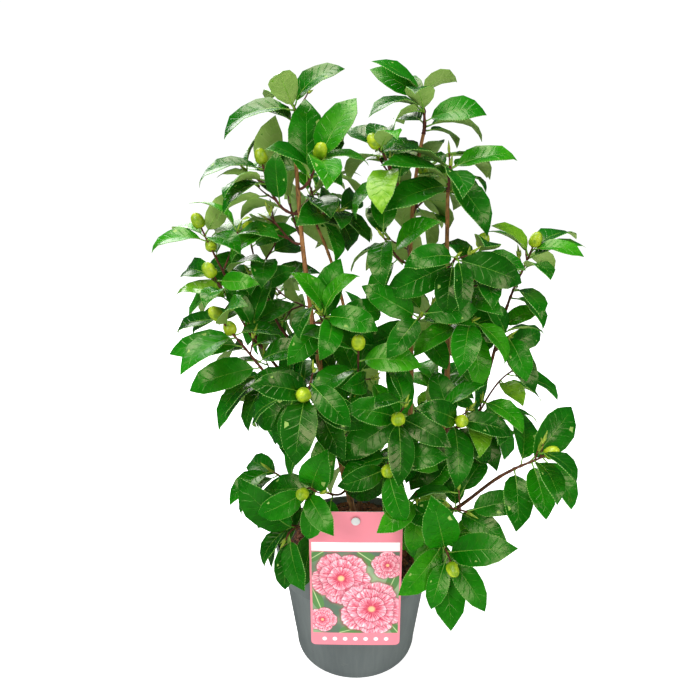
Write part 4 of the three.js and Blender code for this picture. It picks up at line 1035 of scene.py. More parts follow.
# The print on the card, in millimetres from its middle and from its bottom edge: bands, dots (gap,
# height, radius and number each side), then centre, size and turn of each blossom and leaf.
PRINT = dict(margin=2.2, strip=(118, 128), picture=(16, 117), dots=(11.0, 8.0, 2.4, 3.5), blur=0.2)
PETAL_ROUNDS = [(1.0, 0.0), (0.74, 0.6), (0.46, 0.15)]                     # size, turn
PETALS = 2.5                                # half the number of petals in a round
SPRIG_BREADTH = 0.46
BLOSSOMS = [(33, 101, 16, 0.9), (-35, 33, 15, 1.3), (-15, 85, 30, 0.35), (17, 47, 33, 0.1)]
SPRIGS = [(14, 108, 15, 2.5), (38, 80, 14, 1.2), (-2, 21, 16, 0.3), (-40, 58, 13, 1.9), (-42, 111, 11, 0.6),
          (43, 20, 12, 2.2)]


def blossom(paint, x, z, picture, centre_x, centre_z, size, turn):
    """Paints a plain double blossom: rounds of petals with streaks and a wavy rim, and a pale heart."""
    dx, dz = x - centre_x, z - centre_z
    reach, around = (dx * dx + dz * dz) ** 0.5, dz.angle(dx) + turn
    for scale, phase in PETAL_ROUNDS:
        petal = abs(((around + phase) * PETALS).cos()) ** 0.5
        place = paint.node("ShaderNodeCombineXYZ", None, (around * 1.4, reach / size * 0.5, turn + phase))
        streak = paint.noise(place, 11.0, 4.0, 0.65)
        ragged = paint.noise(place, 4.0, 2.0) * 0.16
        share = reach / ((petal * 0.2 + 0.76 + ragged) * (size * scale))
        lit = (share * 0.7 + streak * 2.0 - 1.2).step(0.0, 0.5)
        tone = paint.mix(lit, rgb(204, 40, 76), rgb(240, 150, 168))
        pale = paint.mix((share * 0.6 + streak * 1.6 - 1.1).step(0.2, 0.5), tone, rgb(248, 222, 226))
        seam = paint.mix((1.0 - petal.step(0.2, 0.6)) * share.step(0.3, 0.8) * 0.5, pale, rgb(196, 54, 88))
        shade = paint.mix((1.0 - share.step(1.0, 1.12)) * 0.55, picture, rgb(150, 50, 70))
        picture = paint.mix(1.0 - share.step(0.985, 1.015), shade, seam)
    return paint.mix((1.0 - (reach / size).step(0.06, 0.15)) * 0.8, picture, rgb(250, 214, 150))


def sprig_leaf(paint, x, z, picture, centre_x, centre_z, size, turn):
    """Paints one plain leaf: an ellipse along its turn, with a pale rib."""
    dx, dz = x - centre_x, z - centre_z
    along = dx * float(np.cos(turn)) + dz * float(np.sin(turn))
    aside = dz * float(np.cos(turn)) - dx * float(np.sin(turn))
    breadth = size * SPRIG_BREADTH
    inside = (along / size) * (along / size) + (aside / breadth) * (aside / breadth)
    leaf = paint.mix(abs(aside).step(0.2, 0.7), rgb(190, 210, 150), rgb(88, 138, 74))
    return paint.mix(1.0 - inside.step(0.92, 1.06), picture, leaf)


def card_finish():
    """Printed card: pink head, white strip, a picture of plain blossoms and leaves, pink foot with dots."""
    paint = Paint("printed_card", roughness=0.32, coat_weight=0.3, coat_roughness=0.12)
    east, _, up = paint.parts(paint.xyz())
    x, z = east * METRE, up * METRE - float(CARD["bottom"])
    pink = rgb(232, 132, 146)
    haze = paint.noise(paint.xyz(), 26.0, 2.0)
    picture = paint.mix(haze.step(0.35, 0.65), rgb(92, 116, 96), rgb(150, 176, 132))
    for leaf in SPRIGS:
        picture = sprig_leaf(paint, x, z, picture, *leaf)
    for flower in BLOSSOMS:
        picture = blossom(paint, x, z, picture, *flower)
    inner = abs(x) < CARD["width"] / 2 - PRINT["margin"]
    low, high = PRINT["picture"]
    face = paint.mix(inner * (z > low) * (z < high), pink, picture)
    low, high = PRINT["strip"]
    face = paint.mix(inner * (z > low) * (z < high), face, rgb(252, 250, 250))
    gap, level, reach, number = PRINT["dots"]
    across_dot = (x / gap).wrapped() * gap
    spot = (across_dot * across_dot + (z - level) * (z - level)) ** 0.5
    dots = (1.0 - spot.step(reach - PRINT["blur"], reach + PRINT["blur"])) * (abs(x) < number * gap)
    paint.feed("Base Color", paint.mix(dots, face, rgb(255, 240, 242)))
    paint.feed("Roughness", 0.28 + haze * 0.1)
    return paint.material


def card_back_finish():
    """Unprinted white board of the card's back and cut edge."""
    paint = Paint("card_board", roughness=0.55)
    fibre = paint.noise(paint.xyz(), 500.0, 3.0)
    paint.feed("Base Color", paint.mix(fibre, rgb(238, 237, 234), rgb(250, 249, 247)))
    return paint.material


def floor_finish():
    """Bright white sweep, lit a little from within so that it meets the backdrop unseen."""
    paint = Paint("pale_floor", roughness=0.8, emission_color=(1, 1, 1, 1), emission_strength=0.78)
    paint.feed("Base Color", paint.mix(paint.noise(paint.xyz(), 3.0), rgb(244, 244, 243), rgb(250, 250, 250)))
    return paint.material


# ---------------------------------------------------------------- leaves
BLADE = dict(
    stations=np.array([0.0, 0.07, 0.19, 0.36, 0.56, 0.75, 0.90, 1.0]),
    breadth=np.array([0.08, 0.46, 0.83, 1.02, 1.00, 0.76, 0.32, 0.012]),
    columns=np.array([-1.0, -0.5, 0.0, 0.5, 1.0]), slim=(0.84, 1.0),
    fold_at=(0.0, 0.3, 0.68, 1.0), fold=(0.36, 0.32, 0.14, -0.04),
    bulge=0.16, wave=0.09, waves=1.6, wave_skew=0.3, thickness=0.5, thins_below=1.5, thinnest=0.3,
    lip=0.42, lip_most=0.5, tip_from=0.7, tip_drop=(0.04, 0.15), sharp=38,
)
# Rib: share of the petiole and depth below it of two rings, then the radius of every ring.
RIB = dict(neck=((0.4, 0.5), (0.75, 0.3)),
           radii=np.array([1.2, 0.9, 0.82, 0.78, 0.66, 0.55, 0.46, 0.38, 0.31, 0.23, 0.1]))
# Each tint: two greens of the upper face and the tone of its worn patches.
TINTS = {
    "deep": (rgb(1, 62, 0), rgb(6, 88, 2), rgb(40, 78, 8)),
    "dark": (rgb(2, 78, 0), rgb(9, 102, 3), rgb(46, 88, 8)),
    "mid": (rgb(6, 94, 1), rgb(22, 120, 4), rgb(60, 104, 10)),
    "bright": (rgb(18, 112, 3), rgb(52, 142, 8), rgb(92, 132, 18)),
    "fresh": (rgb(74, 138, 16), rgb(122, 172, 34), rgb(150, 178, 70)),
}
FRESH_SHARE = 0.035             # leaves that take the fresh tint, whatever their spray
SPRAY_TINTS = [0, 1, 1, 2, 2, 3]
LEAF_SHIFTS = [-1, 0, 0, 1]     # how a leaf's tint may differ from its spray's


def gathered(leaves, *keys):
    """One array over all the leaves for each key."""
    return [np.array([leaf[key] for leaf in leaves]) for key in keys]


def blade_surface(leaves):
    """Upper grid, lower grid and centre line of every blade at once.

    At share s of the length and column u the point is arc(s) + side u w(s) + normal rise(u, s), where
    w is the outline, the arc turns by the leaf's curl with its tip bent further, and the rise is a
    fold |u|, a bulge |u| - u u and a wave along the margin. The lower grid lies a thickness below and
    is wider by the lip, so that the rim between them slopes out."""
    s, u = BLADE["stations"][None], BLADE["columns"][None, None]
    root, heading, upper = (field[:, None] for field in gathered(leaves, "root", "heading", "upper"))
    length, curl, wave_phase, tip_drop, slim = (
        field[:, None] for field in gathered(leaves, "length", "curl", "wave", "drop", "slim"))
    side = np.cross(heading, upper)
    angle, radius = curl * s, length / curl
    centre = (root + heading * (LEAF["petiole"] + radius * np.sin(angle))[..., None]
              - upper * (radius * (1 - np.cos(angle)))[..., None])
    normal = heading * np.sin(angle)[..., None] + upper * np.cos(angle)[..., None]
    bent = np.clip((s - BLADE["tip_from"]) / (1 - BLADE["tip_from"]), 0, 1) ** 2
    centre = centre - normal * (length * tip_drop * bent)[..., None]
    half = LEAF["half_width"] * length * slim * BLADE["breadth"][None]
    fold = np.interp(s, BLADE["fold_at"], BLADE["fold"])[..., None]
    turns = BLADE["waves"] * s[..., None] + wave_phase[..., None] + BLADE["wave_skew"] * u
    wave = BLADE["wave"] * np.sin(2 * np.pi * turns) * u * u
    rise = half[..., None] * (fold * abs(u) + BLADE["bulge"] * (abs(u) - u * u) + wave)
    thinning = np.clip(half / BLADE["thins_below"], BLADE["thinnest"], 1)[..., None]
    half_thick = BLADE["thickness"] / 2 * thinning

    def grid(width, offset, pick):
        out = side[:, :, None] * (width[..., None] * u[..., pick])[..., None]
        return centre[:, :, None] + out + normal[:, :, None] * (rise[..., pick] + offset)[..., None]

    inner = np.maximum(half - BLADE["lip"], (1 - BLADE["lip_most"]) * half)
    every, outer = slice(None), [0, 2, 4]
    return grid(inner, half_thick, every), grid(half, -half_thick, outer), centre, normal, side


def leaf_shells(name, leaves, tones, edge, back):
    """Closed thin leaves: glossy upper face, pale sloping rim, matt underside."""
    count = len(leaves)
    upper, lower, *_ = blade_surface(leaves)
    rows, columns, under = len(BLADE["stations"]), len(BLADE["columns"]), 3
    block = rows * (columns + under)
    points = np.concatenate([upper.reshape(count, -1, 3), lower.reshape(count, -1, 3)], 1).reshape(-1, 3)
    faces = grid_faces(rows, columns)
    backs = grid_faces(rows, under)[:, ::-1] + rows * columns
    s = np.arange(rows - 1)

    def rim(column, below):
        top, bottom = s * columns + column, rows * columns + s * under + below
        return np.stack([top, bottom, bottom + under, top + columns], 1)

    rims = np.concatenate([rim(columns - 1, under - 1), rim(0, 0)[:, ::-1]])
    top_row, low_row = np.arange(columns), rows * columns + np.arange(under)[::-1]
    ends = np.array([np.concatenate([top_row, low_row])[::-1],
                     np.concatenate([top_row + (rows - 1) * columns, low_row + (rows - 1) * under])])
    column_share, row_share = (BLADE["columns"] + 1) / 2, BLADE["stations"]
    uv = np.concatenate([np.stack(np.meshgrid(column_share, row_share), -1).reshape(-1, 2),
                         np.stack(np.meshgrid([0, 0.5, 1], row_share), -1).reshape(-1, 2)])
    sets = [repeated(part, count, block) for part in (faces, rims, backs, ends)]
    materials = [leaf_upper(f"leaf_face_{name}", *tones), edge, back]
    return mesh_piece(f"leaves_{name}", points, sets, materials, "leaf", FOLIAGE_NODES,
                      uv=np.tile(uv, (count, 1)), kinds=(0, 1, 2, 1), sharp=BLADE["sharp"])


def leaf_ribs(leaves, material):
    """Petiole and midrib of every leaf as one four-sided taper: three rings from the twig to the
    blade, then one at each station of the blade, standing a little above and below it."""
    _, _, centre, normal, side = blade_surface(leaves)
    seat, root, heading, upper = gathered(leaves, "seat", "root", "heading", "upper")
    blade_foot = root + heading * LEAF["petiole"]
    neck = [seat] + [mix(seat, blade_foot, share) - upper * depth for share, depth in RIB["neck"]]
    line = np.concatenate([np.stack(neck, 1), centre], 1)
    normals = np.concatenate([np.repeat(upper[:, None], len(neck), 1), normal], 1)
    ring = (np.array([1, 0, -1, 0])[None, None, :, None] * side[:, :, None]
            + np.array([0, 1, 0, -1])[None, None, :, None] * normals[:, :, None])
    points = line[:, :, None] + RIB["radii"][None, :, None, None] * ring
    rings, sides = points.shape[1:3]
    caps = np.array([np.arange(sides), (rings - 1) * sides + np.arange(sides)[::-1]])
    sets = [repeated(faces, len(leaves), rings * sides)
            for faces in (grid_faces(rings, sides, wrap=True)[:, ::-1], caps)]
    return mesh_piece("leaf_ribs", points.reshape(-1, 3), sets, [material], "leaf_back", FOLIAGE_NODES)


# ---------------------------------------------------------------- stems, boughs and twigs
# Rise and reach of the swellings at joints, depth of the relief, and how much the foot spreads where
# it runs into its parent.
LIMB_BARK = dict(ring_gap=3.0, sides=14, swelling=(0.16, 2.6), relief=0.045, spread=(1.25, 1.2))
TWIG_BARK = dict(rings=25, sides=7, swelling=(0.35, 1.3), relief=0.05, spread=1.3)
JOINTS = dict(stem=9, bough=4, between=(0.08, 0.97))


def relief(rings, sides, rng, depth, waves=7):
    """Bark relief round and along a limb: a sum of waves, whole in number round it so that it closes."""
    angle = 2 * np.pi * np.arange(sides)[None] / sides
    along = np.arange(rings)[:, None]
    total = np.zeros((rings, sides))
    for _ in range(waves):
        turns, pace, phase = rng.integers(1, 6), rng.uniform(-0.5, 0.5), rng.uniform(0, 2 * np.pi)
        total += np.sin(turns * angle + pace * along + phase)
    return 1 + depth * total / np.sqrt(waves)


def swollen(radii, share, length, places, swelling):
    """Radii with a soft swelling of a given rise and reach at each place along a limb."""
    rise, reach = swelling
    for place in places:
        radii = radii * (1 + rise * np.exp(-((share - place) * length / reach) ** 2))
    return radii


def limb_piece(name, limb, node, material, slot, rng, joints):
    """Stem or bough with bark relief, swellings at its joints and its foot carried into its parent."""
    bend, sides = limb["bend"], LIMB_BARK["sides"]
    length = path_length(bend.path)
    rings = int(length / LIMB_BARK["ring_gap"])
    share = np.linspace(0, 1, rings)
    path = bend.at(share)
    radii = np.interp(share * (len(limb["radii"]) - 1), np.arange(len(limb["radii"])), limb["radii"])
    radii = swollen(radii, share, length, joints, LIMB_BARK["swelling"])
    surface = radii[:, None] * relief(rings, sides, rng, LIMB_BARK["relief"])
    if limb["inside"] is not None:
        path = np.concatenate([[limb["inside"]], path])
        inner, outer = LIMB_BARK["spread"]
        surface = np.concatenate([surface[:1] * inner, surface])
        surface[1] *= outer
    points, sets = sweep(path, surface, sides, bend.leaving)
    return mesh_piece(name, points, sets, [material], slot, [node])


def twig_parts(masses, rng):
    """Every twig as a seven-sided taper with a swelling under each leaf."""
    parts, sides = [], TWIG_BARK["sides"]
    for mass in masses:
        for number, twig in enumerate(mass["twigs"]):
            share = np.linspace(0, 1, TWIG_BARK["rings"])
            path = twig["bend"].at(share)
            radii = np.interp(share, (0, 1), (twig["radii"][0], twig["radii"][-1]))
            places = [leaf["share"] for leaf in mass["grown"] if leaf["twig"] == number]
            radii = swollen(radii, share, path_length(path), places, TWIG_BARK["swelling"])
            surface = radii[:, None] * relief(len(share), sides, rng, TWIG_BARK["relief"])
            if twig["inside"] is not None:
                path = np.concatenate([[twig["inside"]], path])
                surface = np.concatenate([surface[:1] * TWIG_BARK["spread"], surface])
            parts.append(sweep(path, surface, sides, twig["bend"].leaving))
    return parts


# ---------------------------------------------------------------- buds
BUD_SCALES = [(0.0, 0.40, 1.075), (0.5, 0.46, 1.065), (0.25, 0.60, 1.05), (0.72, 0.66, 1.04),
              (0.08, 0.84, 1.03), (0.42, 0.88, 1.02), (0.75, 0.90, 1.012)]   # turn, reach, outset
EGG = dict(fullness=0.62, taper=0.16, point=0.1, point_from=0.85, point_span=0.15, foot=0.03, top=0.99,
           rings=9, sides=12, size=(6.3, 7.2), slimness=1.16)
SCALE = dict(rows=7, columns=7, spread=1.25, narrows=(0.985, 2.6), tip=0.02, cup=0.035, overshoot=0.02,
             underside=0.93)
LEAF_BUD = dict(
    rings=8, sides=7, ridge=0.10, twist=3, swell=((0, 0.12, 0.35, 0.7, 1), (0.5, 0.85, 1, 0.55, 0.04)),
    tip_length=(11, 15), side_length=(7, 11), radius=(1.3, 1.8), tip_lean=0.15, side_lean=(0.5, 0.9),
    sunk=0.5, apart=2.0, nearby=0.94,
)


def bud_radius(t, size, length):
    """Radius and height of a bud at share t from its foot to its tip: round, with a blunt point."""
    radius = size * np.sin(np.pi * np.clip(t, 0, 1)) ** EGG["fullness"] * (1 - EGG["taper"] * t)
    point = EGG["point"] * length * np.clip(t - EGG["point_from"], 0, 1) / EGG["point_span"]
    return radius, -length * np.cos(np.pi * t) + point


def bud_form(centre, axis, size, length, turn):
    """Egg-shaped core wrapped in overlapping scales, each a patch of the egg set a little outward."""
    first, second = across(axis)

    def place(radius, angle, height):
        out = first * np.cos(angle)[..., None] + second * np.sin(angle)[..., None]
        return centre + out * radius[..., None] + axis * height[..., None]

    rings, sides = EGG["rings"], EGG["sides"]
    t = np.linspace(EGG["foot"], EGG["top"], rings)[:, None]
    angle = np.linspace(0, 2 * np.pi, sides + 1)[None, :-1] + turn
    radius, height = bud_radius(t, size, length)
    core = place(radius + 0 * angle, angle + 0 * radius, height + 0 * angle).reshape(-1, 3)
    ends = np.stack([np.arange(sides)[::-1], (rings - 1) * sides + np.arange(sides)])
    parts = [(core, [grid_faces(rings, sides, wrap=True), ends])]
    rows, columns = SCALE["rows"], SCALE["columns"]
    v = np.linspace(0, 1, rows)[:, None]
    w = np.linspace(-1, 1, columns)[None]
    taper, fullness = SCALE["narrows"]
    spread = SCALE["spread"] * np.sqrt(np.clip(1 - (v * taper) ** fullness, 0, 1)) + SCALE["tip"]
    lift = 1 + SCALE["cup"] * v * (1 - w * w)
    for start, reach, outset in BUD_SCALES:
        radius, height = bud_radius(mix(EGG["foot"], reach, v) + 0 * w, size * outset, length)
        angle = 2 * np.pi * start + turn + spread * w
        outer = place(radius * lift, angle, height * (1 + SCALE["overshoot"] * v))
        parts.append(slab(outer, place(radius * SCALE["underside"], angle, height), rows, columns))
    return parts


def spindle(centre, axis, length, radius, turn):
    """Narrow leaf bud: rings whose radius swells to a third of the length and runs out to a point."""
    share = np.linspace(0, 1, LEAF_BUD["rings"])
    swell = np.interp(share, *LEAF_BUD["swell"]) * radius
    angle = 2 * np.pi * np.arange(LEAF_BUD["sides"]) / LEAF_BUD["sides"]
    ridge = 1 + LEAF_BUD["ridge"] * np.cos(2 * angle[None] + turn + LEAF_BUD["twist"] * share[:, None])
    path = centre + axis * (share * length)[:, None]
    return sweep(path, swell[:, None] * ridge, LEAF_BUD["sides"], axis)


def leaf_bud_parts(masses, rng):
    """Leaf buds at every shoot tip: one on a bare tip, and side buds in the last leaves' axils."""
    parts = []
    for mass in masses:
        for number, twig in enumerate(mass["twigs"]):
            tip = twig["bend"].at(1.0)
            heading = unit(tip - twig["bend"].at(LEAF_BUD["nearby"]))
            first, second = across(heading)
            flowers = number == 0 and len(mass["buds"]) > 0
            count = int(rng.integers(1, 3)) if flowers else int(rng.integers(2, 4))
            for k in range(count):
                ends = k == 0 and not flowers
                turn = rng.uniform(0, 2 * np.pi)
                lean = LEAF_BUD["tip_lean"] if ends else rng.uniform(*LEAF_BUD["side_lean"])
                axis = unit(heading + lean * (first * np.cos(turn) + second * np.sin(turn)))
                length = rng.uniform(*LEAF_BUD["tip_length" if ends else "side_length"])
                foot = tip - heading * (LEAF_BUD["sunk"] + LEAF_BUD["apart"] * k)
                parts.append(spindle(foot, axis, length, rng.uniform(*LEAF_BUD["radius"]), turn))
    return parts


# ---------------------------------------------------------------- pot, soil and label
MOULD = dict(sides=144, rounding=1.2, sharp=50, foot_ring=7, ledge=(4.5, 3.6))   # ledge: below the top
MOUND = dict(rings=46, sides=120, gap=0.1, outward=0.8, deep=16, waves=5, damping=2.2,
             lumps=((19, 1.2), (8, 0.9), (3.6, 0.5)))         # length and depth of each kind of wave
CHIP = dict(count=620, sizes=((2.5, 7.5), (1.6, 4.2), (0.7, 1.8)), blunt=0.12, uneven=0.28, warp=0.12,
            tilt=0.35, from_wall=5, lie=(-0.3, 1.6), sharp=30)
SHEET = dict(arc_rows=6, rows=24, columns=17, bow=0.9, cup=0.6, back_off=0.3, thinned=0.7, sharp=40)
STRIP = dict(rings=12, edge=0.5, narrow=((0, 0.12, 0.96, 1), (0.35, 1, 1, 0.8)), sharp=40)


def pot_piece():
    """Pot turned from its rounded profile: foot, tapering wall, collar with a step, rolled rim, inside."""
    wall, lip, top, rim = POT["wall"], POT["height"] - POT["collar"], POT["height"], POT["rim"]

    def at(height):
        return mix(POT["foot"], POT["shoulder"], height / lip)

    ring = MOULD["foot_ring"]
    under_ledge, on_ledge = (top - drop for drop in MOULD["ledge"])
    outside = [(POT["foot"] - 4, 0), (POT["foot"] + 0.2, POT["bevel"] - 0.6), (at(ring) + 0.5, ring),
               (at(ring + 1.5), ring + 1.2), (POT["shoulder"], lip), (POT["lip"] - 0.6, lip + 0.2),
               (POT["lip"], lip + 1.6), (rim - 0.9, under_ledge), (rim, on_ledge), (rim, top - 0.6),
               (rim - 0.8, top), (rim - 2.2, top)]
    inside = [(rim - 2.8, top - 1), (POT["lip"] - wall - 0.2, lip + 3),
              (POT["shoulder"] - wall, lip), (at(POT["floor"]) - wall, POT["floor"])]
    profile = rounded([(0, 0), *outside, *inside, (0, POT["floor"])], MOULD["rounding"])
    points, sets = lathe(profile, MOULD["sides"])
    return mesh_piece("pot_shell", points, sets, [pot_finish()], "pot_plastic", ["pot"], sharp=MOULD["sharp"])


def soil_height(radius):
    """Height of the soil: level in the middle, falling to the wall."""
    edge, plateau = POT["lip"] - POT["wall"] - CLEAR, SOIL["plateau"]
    return SOIL["height"] - SOIL["edge_drop"] * np.clip((radius - plateau) / (edge - plateau), 0, 1)


def soil_piece(rng):
    """Soil: a disc whose height is the mound's plus waves of a few sizes, closed below."""
    rings, sides = MOUND["rings"], MOUND["sides"]
    edge = POT["lip"] - POT["wall"] - MOUND["gap"]
    radius = edge * np.linspace(0, 1, rings)[1:, None] ** MOUND["outward"]
    angle = 2 * np.pi * np.arange(sides)[None] / sides
    x, y = radius * np.cos(angle), radius * np.sin(angle)
    z = soil_height(radius + 0 * angle)
    for size, depth in MOUND["lumps"]:
        for _ in range(MOUND["waves"]):
            way, phase = rng.uniform(0, 2 * np.pi), rng.uniform(0, 2 * np.pi)
            swell = np.sin(2 * np.pi * (x * np.cos(way) + y * np.sin(way)) / size + phase)
            z = z + depth / MOUND["damping"] * swell
    points = np.stack([x, y, z], -1).reshape(-1, 3)
    deep = np.stack([x[-1], y[-1], 0 * x[-1] + SOIL["height"] - MOUND["deep"]], -1)
    points = np.concatenate([points, deep, [[0, 0, z[0].mean()]]])
    walls = grid_faces(rings, sides, wrap=True)
    j, n = np.arange(sides), (np.arange(sides) + 1) % sides
    middle = np.stack([0 * j + len(points) - 1, j, n], 1)
    under = (rings - 1) * sides + np.arange(sides)[None, ::-1]
    return points, [walls[:, ::-1], middle, under]


def block_faces():
    """Quads of a cube cut into eight, and the corners on its skin as (-1, 0 or 1) in each direction."""
    line = np.array([-1.0, 0.0, 1.0])
    cube = np.stack(np.meshgrid(line, line, line, indexing="ij"), -1).reshape(-1, 3)
    skin = np.flatnonzero(np.abs(cube).max(1) > 0.5)
    number = np.full(len(cube), -1)
    number[skin] = np.arange(len(skin))
    number = number.reshape(3, 3, 3)
    faces = []
    for axis in range(3):
        for way in (0, 2):
            side = np.take(number, way, axis)
            quads = np.stack([side[:-1, :-1], side[1:, :-1], side[1:, 1:], side[:-1, 1:]], -1).reshape(-1, 4)
            faces.append(quads if (way > 0) == (axis != 1) else quads[:, ::-1])
    return np.concatenate(faces), cube[skin]


def chip_parts(rng):
    """Bark chips lying in the soil: slabs of 24 faces with uneven corners, each turned its own way."""
    faces, corners = block_faces()
    count = CHIP["count"]
    base = corners * (1 - CHIP["blunt"] * (np.abs(corners).sum(1, keepdims=True) - 1))
    size = np.stack([rng.uniform(low, high, count) for low, high in CHIP["sizes"]], 1)
    uneven = rng.uniform(-CHIP["uneven"], CHIP["uneven"], (count, len(base), 3))
    points = base[None] * size[:, None] * (1 + uneven)
    points[..., 2] += CHIP["warp"] * points[..., 0] * rng.uniform(-1, 1, (count, 1))
    yaw = rng.uniform(0, 2 * np.pi, count)
    pitch, roll = rng.normal(0, CHIP["tilt"], count), rng.normal(0, CHIP["tilt"], count)
    points = turned(turned(turned(points, roll, 0), pitch, 1), yaw, 2)
    edge = POT["lip"] - POT["wall"] - CHIP["from_wall"]
    radius, angle = edge * np.sqrt(rng.random(count)), rng.uniform(0, 2 * np.pi, count)
    seat = np.stack([radius * np.cos(angle), radius * np.sin(angle),
                     soil_height(radius) + rng.uniform(*CHIP["lie"], count)], 1)
    return (points + seat[:, None]).reshape(-1, 3), [repeated(faces, count, len(base))]


def turned(points, angle, axis):
    """Each set of points turned by its own angle about one axis."""
    a, b = [k for k in range(3) if k != axis]
    cos, sin = np.cos(angle)[:, None], np.sin(angle)[:, None]
    out = points.copy()
    out[..., a] = points[..., a] * cos - points[..., b] * sin
    out[..., b] = points[..., a] * sin + points[..., b] * cos
    return out


def card_piece():
    """Card: a sheet whose half width at each height is the straight one less the corner's arc, bowed
    a little along its height."""
    corner, height, half = CARD["corner"], CARD["height"], CARD["width"] / 2
    arc = corner * (1 - np.cos(np.linspace(0, np.pi / 2, SHEET["arc_rows"])))
    rows = np.concatenate([arc, np.linspace(corner, height - corner, SHEET["rows"])[1:-1],
                           height - arc[::-1]])
    into = np.clip(corner - np.minimum(rows, height - rows), 0, corner)
    wide = half - corner + np.sqrt(np.clip(corner ** 2 - into ** 2, 0, None))
    x = wide[:, None] * np.linspace(-1, 1, SHEET["columns"])
    bow = SHEET["bow"] * np.sin(np.pi * rows / height)[:, None] - SHEET["cup"] * (x / half) ** 2
    front = np.stack([x, CARD["front"] - bow + SHEET["back_off"], CARD["bottom"] + rows[:, None] + 0 * x], -1)
    back = front + FORWARD * CARD["thickness"] * SHEET["thinned"]
    return mesh_piece("label_card_sheet", *slab(front, back, len(rows), SHEET["columns"]),
                      [card_finish(), card_back_finish()], "label_print", ["label_card"], kinds=(0, 1, 1),
                      sharp=SHEET["sharp"])


def stake_piece(material):
    """Leaning strip of the stake, a rounded rectangle swept along it, with the peg and its head."""
    (foot_z, foot_y), (head_z, head_y) = STAKE["foot"], STAKE["head"]
    rings = STRIP["rings"]
    share = np.linspace(0, 1, rings)[:, None]
    line = mix(np.array([0, foot_y, foot_z], float), np.array([0, head_y, head_z], float), share)
    half, thick, edge = STAKE["width"] / 2, STAKE["thickness"] / 2, STRIP["edge"]
    narrow = np.interp(share[:, 0], *STRIP["narrow"])[:, None, None]
    outline = np.array([(half, -thick + edge), (half, thick - edge), (half - edge, thick),
                        (edge - half, thick), (-half, thick - edge), (-half, edge - thick),
                        (edge - half, -thick), (half - edge, -thick)])
    sides = len(outline)
    across_strip = outline[None, :, :1] * narrow * np.array([1.0, 0, 0])
    strip = line[:, None] + across_strip + outline[None, :, 1:] * FORWARD
    caps = np.stack([np.arange(sides)[::-1], (rings - 1) * sides + np.arange(sides)])
    parts = [(strip.reshape(-1, 3), [grid_faces(rings, sides, wrap=True), caps])]
    height, front = CARD["bottom"] + CARD["height"] - CARD["hole_drop"], CARD["front"] - PEG["seat"]
    radius, head, foot = PEG["radius"], PEG["head_radius"], -PEG["length"]
    neck, back, rim, slope, face = PEG["head"]
    profile = rounded([(0, foot), (radius, foot), (radius, neck), (head, back), (head, rim),
                       (head - PEG["head_slope"], slope), (0, face)], PEG["softness"])
    points, sets = lathe(profile, PEG["sides"])
    laid = np.stack([points[:, 0], front - points[:, 2], height + points[:, 1]], 1)
    parts.append((laid, sets))
    return mesh_piece("stake_and_peg", *joined(parts), [material], "clear_plastic", ["label_stake"],
                      sharp=STRIP["sharp"])


# ---------------------------------------------------------------- the whole piece list
def dress_limbs(limbs, rng):
    mature = bark_finish("mature_bark", rgb(84, 46, 24), rgb(158, 106, 56), rgb(58, 30, 16),
                         rgb(190, 142, 88), (0.17, 0.30))
    shoot = bark_finish("shoot_bark", rgb(104, 56, 30), rgb(92, 40, 24), rgb(40, 18, 12),
                        rgb(140, 86, 48), (0.30, 0.42))
    for name, limb in limbs.items():
        kind = "stem" if name in STEMS else "bough"
        joints = np.sort(rng.uniform(*JOINTS["between"], JOINTS[kind]))
        finish, slot = (mature, "bark") if kind == "stem" else (shoot, "young_bark")
        limb_piece(f"{kind}_{name}_bark", limb, f"{kind}_{name}", finish, slot, rng, joints)
    return shoot


def dress_foliage(masses, rng):
    """Deals the leaves out by spray over the tints, and makes one piece of each tint."""
    edge = leaf_margin("leaf_edge", rgb(44, 118, 24), rgb(142, 184, 84))
    back = leaf_under("leaf_underside", rgb(112, 152, 62), rgb(156, 184, 100))
    dealt = {name: [] for name in TINTS}
    *plain, fresh = TINTS
    for mass in masses:
        for number in range(len(mass["twigs"])):
            spray = rng.choice(SPRAY_TINTS)
            for leaf in (leaf for leaf in mass["grown"] if leaf["twig"] == number):
                leaf.update(wave=rng.random(), drop=rng.uniform(*BLADE["tip_drop"]),
                            slim=rng.uniform(*BLADE["slim"]))
                tone = plain[int(np.clip(spray + rng.choice(LEAF_SHIFTS), 0, len(plain) - 1))]
                dealt[fresh if rng.random() < FRESH_SHARE else tone].append(leaf)
    for name, leaves in dealt.items():
        leaf_shells(name, leaves, TINTS[name], edge, back)
    ribs = waxy("leaf_rib", rgb(96, 156, 36), rgb(138, 180, 64), rgb(160, 192, 90), 90.0)
    leaf_ribs([leaf for mass in masses for leaf in mass["grown"]], ribs)


def dress_buds(masses, rng):
    green = waxy("flower_bud_scale", rgb(112, 150, 12), rgb(180, 200, 34), rgb(206, 206, 96), 120.0, 0.36)
    parts = []
    for mass in masses:
        for centre, axis in mass["buds"]:
            size = rng.uniform(*EGG["size"])
            parts += bud_form(centre, axis, size, size * EGG["slimness"], rng.uniform(0, 2 * np.pi))
    mesh_piece("flower_buds", *joined(parts), [green], "bud", FOLIAGE_NODES, sharp=55)
    point = waxy("leaf_bud_scale", rgb(112, 140, 36), rgb(164, 184, 56), rgb(120, 92, 40), 260.0, 0.45)
    mesh_piece("leaf_buds", *joined(leaf_bud_parts(masses, rng)), [point], "bud", FOLIAGE_NODES)


